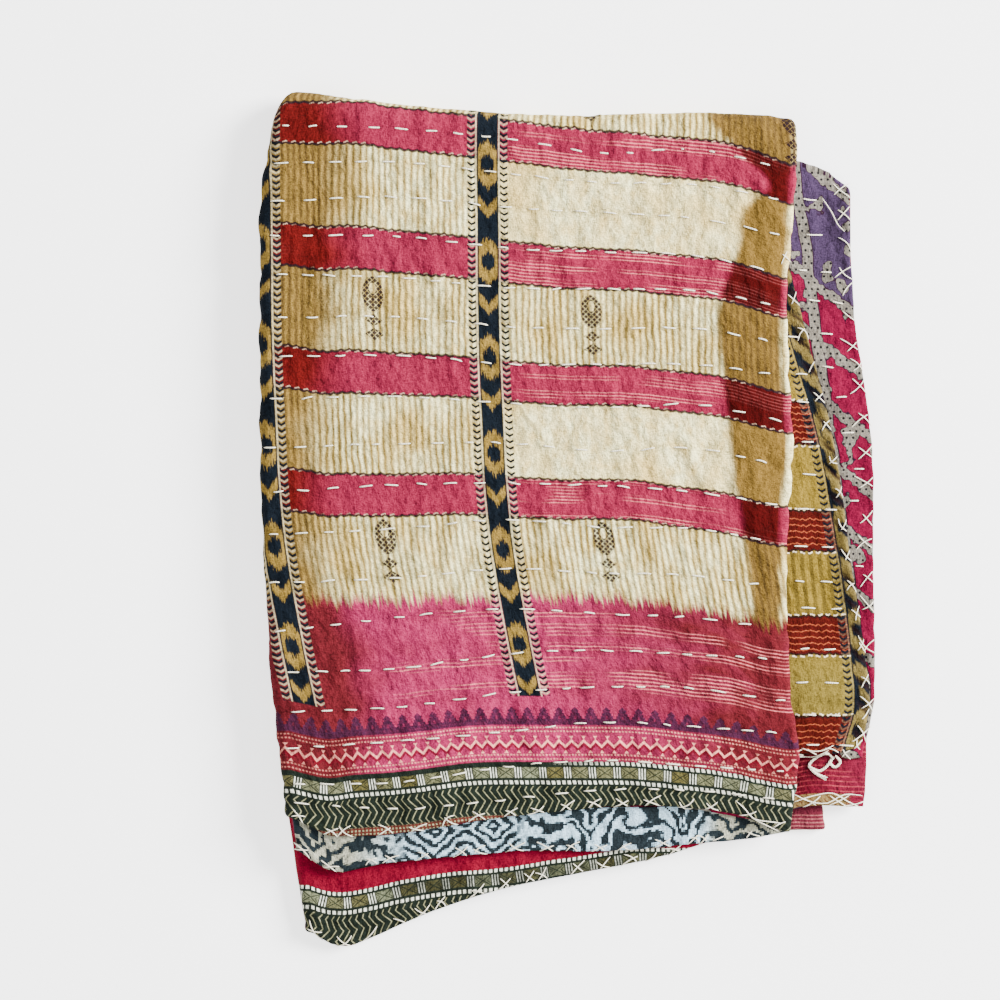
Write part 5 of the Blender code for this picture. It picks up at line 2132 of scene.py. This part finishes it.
@dataclass
class Threads:
    """All the sewing: running stitches, cross stitches over the edges, loose threads and the tie."""

    top: TopSide
    material: Material
    folding: Folding = Folding()
    quilting: Quilting = Quilting()
    stitch: float = 10.5
    gap: float = 11.5
    points: int = 7
    lift: float = 0.9
    dip: float = 0.7
    lowest: float = 0.5
    kept: float = 0.92
    cross_lift: float = 0.8
    cross_points: int = 13
    hang: float = 5.0
    most_off: float = 0.3
    yarn_spread: float = 0.62
    yarn_turn: float = 7.0
    fray: float = 0.9
    fray_length: float = 9.0
    seed: int = 5

    def on_cloth(self, ends: Array, bow: Array, arch: float, points: int) -> Array:
        """Threads over the cloth: straight in plan with a bow sin(pi t) aside, lifted except at the ends.

        Args:
            ends: Threads by 2 by 2, the plan positions of both ends.
            bow: How far each bows aside.
            arch: How far the middle lies above the cloth.
            points: Points for each thread.

        Returns:
            Threads by points by 3.
        """
        share = np.linspace(0, 1, points)
        chord = ends[:, 1] - ends[:, 0]
        aside = np.stack([-chord[:, 1], chord[:, 0]], axis=-1) / np.linalg.norm(chord, axis=-1, keepdims=True)
        plan = ends[:, :1] + chord[:, None] * share[:, None]
        plan = plan + aside[:, None] * (bow[:, None] * np.sin(np.pi * share))[..., None]
        height = self.top.at(plan[..., 0], plan[..., 1])
        rise = (arch + self.dip) * np.clip(np.sin(np.pi * share) * 2.2, 0, 1) ** 0.7 - self.dip
        height = np.maximum(height + rise, self.lowest)
        return join([plan, height[..., None]], axis=-1)

    def row_ends(
        self, random: np.random.Generator, start: float, end: float, y_at: Callable[[Array], Array]
    ) -> Array:
        """Both ends of the stitches of one row from start to end in X, unevenly long and far apart."""
        count = int((end - start) / (self.stitch + self.gap)) + 4
        length = random.normal(self.stitch, 1.7, count).clip(6.5, 15.0)
        space = random.normal(self.gap * random.uniform(0.85, 1.2), 2.2, count).clip(6.0, 18.0)
        first = start + random.uniform(0, 12) + np.insert(np.cumsum(length + space)[:-1], 0, 0.0)
        keep = first + length < end
        first, last = first[keep], (first + length)[keep]
        slope = random.normal(0.0, 0.35, len(first))
        ends = [np.stack([first, y_at(first) + slope], -1), np.stack([last, y_at(last) - slope], -1)]
        return np.stack(ends, axis=1)

    def running(self) -> Object:
        """The rows of running stitches on the panel, on the strip of inner flap beside it and on the wrap."""
        random = np.random.default_rng(self.seed)
        folding, quilting = self.folding, self.quilting
        found = []
        for number in range(len(STITCH_ROWS)):
            middle = quilting.row_y(number, np.array([ROW_STATIONS[0], ROW_STATIONS[-1]]))
            start = folding.left_fold(middle[:1])[0] + 2.5
            end = folding.right_side("fold", middle[1:], 0.0)[0] - 3.0
            found.append(self.row_ends(random, start, end, lambda x, n=number: quilting.row_y(n, x)))
        for heights, near, far, slope in (
            (INNER_FLAP_ROWS, "fold", "flap_edge", -0.03),
            (WRAP_ROWS, "flap_edge", "wrap_edge", -0.08),
        ):
            for y in heights:
                start, end = (folding.right_side(name, np.array([y]), 0.0)[0] for name in (near, far))
                start = max(start, folding.right_side("fold", np.array([y]), 0.0)[0])
                found.append(self.row_ends(random, start + 1.0, end - 5.0, line_from(start, y, slope)))
        ends = join(found)
        bow = random.normal(0.0, 0.25, len(ends))
        paths = self.on_cloth(ends, bow, self.lift, self.points)
        return Strands().make("running_stitches", paths, self.material)

    def crosses(self, random: np.random.Generator, sizes: EdgeStitches) -> tuple[Array, Array]:
        """Places along an edge and distances inwards of both arms' ends: two arrays, arms by 2."""
        count = int((sizes.end - sizes.start) / sizes.pitch) + 1
        middle = sizes.start + sizes.pitch * np.arange(count) + random.normal(0, 2.6, count)
        width = sizes.half_width * random.uniform(0.55, 1.25, (count, 4))
        depth = sizes.depth * random.uniform(0.6, 1.25, (count, 2))
        over = -sizes.overhang * random.uniform(0.2, 1.4, (count, 2))
        first = np.stack([middle - width[:, 0], middle + width[:, 1]], -1)
        second = np.stack([middle + width[:, 2], middle - width[:, 3]], -1)
        along = join([first, second])
        inwards = join([np.stack([over[:, k], depth[:, k]], -1) for k in (0, 1)])
        return along, inwards

    def edges(self) -> Object:
        """The cross stitches over the hems and the free side edges, and the loose threads by the corners."""
        random = np.random.default_rng(self.seed + 1)
        found = []
        for hem, sizes in HEM_STITCHES:
            along, inwards = self.crosses(random, sizes)
            found.append(np.stack([along, hem_y(hem, along) + inwards], axis=-1))
        for side, sizes in SIDE_STITCHES:
            along, inwards = self.crosses(random, sizes)
            edge = self.folding.right_side(side, along, 0.0)
            found.append(np.stack([edge - inwards, along], axis=-1))
        ends = join(found)
        ends = ends[random.uniform(size=len(ends)) < self.kept]
        bow = random.normal(0.0, 1.1, len(ends))
        paths = self.held(self.on_cloth(ends, bow, self.cross_lift, self.cross_points))
        share = np.linspace(0, 1, paths.shape[1])
        loose = [self.loose(strand, self.lift, len(share)) for strand in LOOSE_THREADS]
        paths = join([paths, np.stack(loose)])
        return Strands(radius=0.43).make("edge_stitches", paths, self.material)

    def held(self, paths: Array) -> Array:
        """The threads that the cloth holds: none hangs far below its top, and those mostly off an edge go."""
        lowest = paths[..., 2].max(axis=1, keepdims=True) - self.hang
        off = (paths[..., 2] < lowest - self.hang).mean(axis=1)
        raised = np.maximum(paths[..., 2], lowest)
        return join([paths[..., :2], raised[..., None]], axis=-1)[off < self.most_off]

    def loose(self, strand: Sequence[Lay], lift: float, points: int) -> Array:
        """A smooth path through a loose thread's points, lying on the cloth."""
        steps = [np.hypot(b.x - a.x, b.y - a.y) for a, b in zip(strand, strand[1:])]
        knots = np.insert(np.cumsum(steps), 0, 0.0)
        at = np.linspace(0, knots[-1], points)
        x, y, height = (curve_through(knots, [point[k] for point in strand], at) for k in range(3))
        ground = self.top.at(x, y)
        soft = np.convolve(np.pad(ground, 2, mode="edge"), np.ones(5) / 5, mode="valid")
        return np.stack([x, y, np.maximum(ground, soft) + lift + height * 0.7], axis=-1)

    def tie(self) -> Object:
        """The knotted ends: each strand is three yarns round its path, p + r (cos a S + sin a Z)."""
        paths = []
        for strand in TIE_STRANDS:
            middle = self.loose(strand, 0.9, 61)
            beside = np.cross(unit(np.gradient(middle, axis=0)), [0.0, 0.0, 1.0])
            length = travelled(middle, 0)
            frayed = smooth_step((length - length[-1] + self.fray_length) / self.fray_length)
            spread = self.yarn_spread + self.fray * frayed * (strand is TIE_STRANDS[1])
            for yarn in range(3):
                angle = 2 * np.pi * (length / self.yarn_turn + yarn / 3)
                twist = beside * np.cos(angle)[:, None] + np.array([0.0, 0.0, 0.8]) * np.sin(angle)[:, None]
                paths.append(middle + twist * spread[:, None] + np.array([0.0, 0.0, 0.15]) * spread[:, None])
        return Strands(radius=0.55, flatness=1.0).make("thread_tie_strands", np.stack(paths), self.material)


# ---- studio


@dataclass(frozen=True)
class Studio:
    """The pale floor, the soft lights and the camera straight above."""

    view_width: float = 0.8
    lens: float = 150.0
    sensor: float = 36.0
    centre: Pair = (-0.055, 0.01525)
    top: float = 0.033
    floor_size: float = 6.0
    floor_colour: Colour = dye(252, 252, 252)
    floor_glow: float = 1.9
    sky_strength: float = 0.45
    lights: tuple[tuple[tuple[float, float, float], float, float], ...] = (
        ((4.4, 1.6, 2.7), 2.4, 1350.0),
        ((-1.9, -0.9, 2.4), 2.0, 52.0),
        ((0.2, -2.0, 2.6), 2.4, 34.0),
    )

    def floor(self) -> Object:
        """A large pale plane just under the quilt."""
        half = self.floor_size / 2
        mesh = bpy.data.meshes.new("studio_floor")
        corners = [(-half, -half, 0), (half, -half, 0), (half, half, 0), (-half, half, 0)]
        mesh.from_pydata(corners, [], [(0, 1, 2, 3)])
        loom = Loom("floor_paper", roughness=0.9, sheen=0.0)
        loom.colour = self.floor_colour
        loom.shader.inputs["Emission Color"].default_value = self.floor_colour
        loom.shader.inputs["Emission Strength"].default_value = self.floor_glow
        mesh.materials.append(loom.finish(None))
        return linked("studio_floor", mesh)

    def light(self, number: int, place: tuple[float, float, float], size: float, power: float) -> None:
        """One square area light that looks at the quilt's middle."""
        lamp = bpy.data.lights.new(f"soft_light_{number}", "AREA")
        lamp.shape, lamp.size, lamp.energy = "SQUARE", size, power
        thing = linked(lamp.name, lamp)
        thing.location = place
        thing.rotation_euler = (-Vector(place)).to_track_quat("-Z", "Y").to_euler()

    def camera(self) -> None:
        """A long lens straight above: distance = width of view * lens / sensor."""
        lens = bpy.data.cameras.new("camera")
        lens.lens, lens.sensor_width, lens.clip_end = self.lens, self.sensor, 30.0
        bpy.context.scene.camera = linked("camera", lens)
        distance = self.view_width * self.lens / self.sensor
        bpy.context.scene.camera.location = (*self.centre, self.top + distance)

    def build(self) -> None:
        """Sets up everything that isn't part of the quilt."""
        scene = bpy.context.scene
        world = bpy.data.worlds.new("soft_sky")
        world.use_nodes = True
        sky = world.node_tree.nodes["Background"]
        sky.inputs["Color"].default_value = (1.0, 1.0, 1.0, 1.0)
        sky.inputs["Strength"].default_value = self.sky_strength
        scene.world = world
        self.floor()
        for number, (place, size, power) in enumerate(self.lights, 1):
            self.light(number, place, size, power)
        self.camera()


# ---- the whole quilt


def attach(piece: Object, node: str | None = None) -> None:
    """Makes a piece ride with the quilt, and replace the node it stands for."""
    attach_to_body(piece, "root")
    if node:
        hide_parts(node)
    log.info("%s: %d faces", piece.name, len(piece.data.polygons))


def main() -> None:
    """Builds the studio, both cloths and the threads."""
    Studio().build()
    face = FaceCloth(ClothGrid().build())
    backing = BackingCloth(ClothGrid(panel_steps=(24, 6)).build())
    field, border = FieldFinish().make(), BorderFinish().make()
    kinds = (InnerFlapFinish, FlapEndFinish, BorderEndFinish, CrimsonEndFinish)
    face_finishes = [field, *(kind().make() for kind in kinds), border]
    branch, leaf = BranchFinish().make(), LeafFinish().make()
    face_sheet = face.make("printed_sari_cloth", face_finishes)
    backing_sheet = backing.make("printed_backing_cloth", [branch, branch, leaf])
    attach(face_sheet, "face_cloth")
    attach(backing_sheet, "backing_cloth")
    threads = Threads(TopSide([face, backing]), ThreadFinish().make())
    running, edges, tie = threads.running(), threads.edges(), threads.tie()
    attach(running)
    attach(edges)
    attach(tie, "thread_tie")


if __name__ == "__main__":
    logging.basicConfig(level=logging.INFO)
    main()
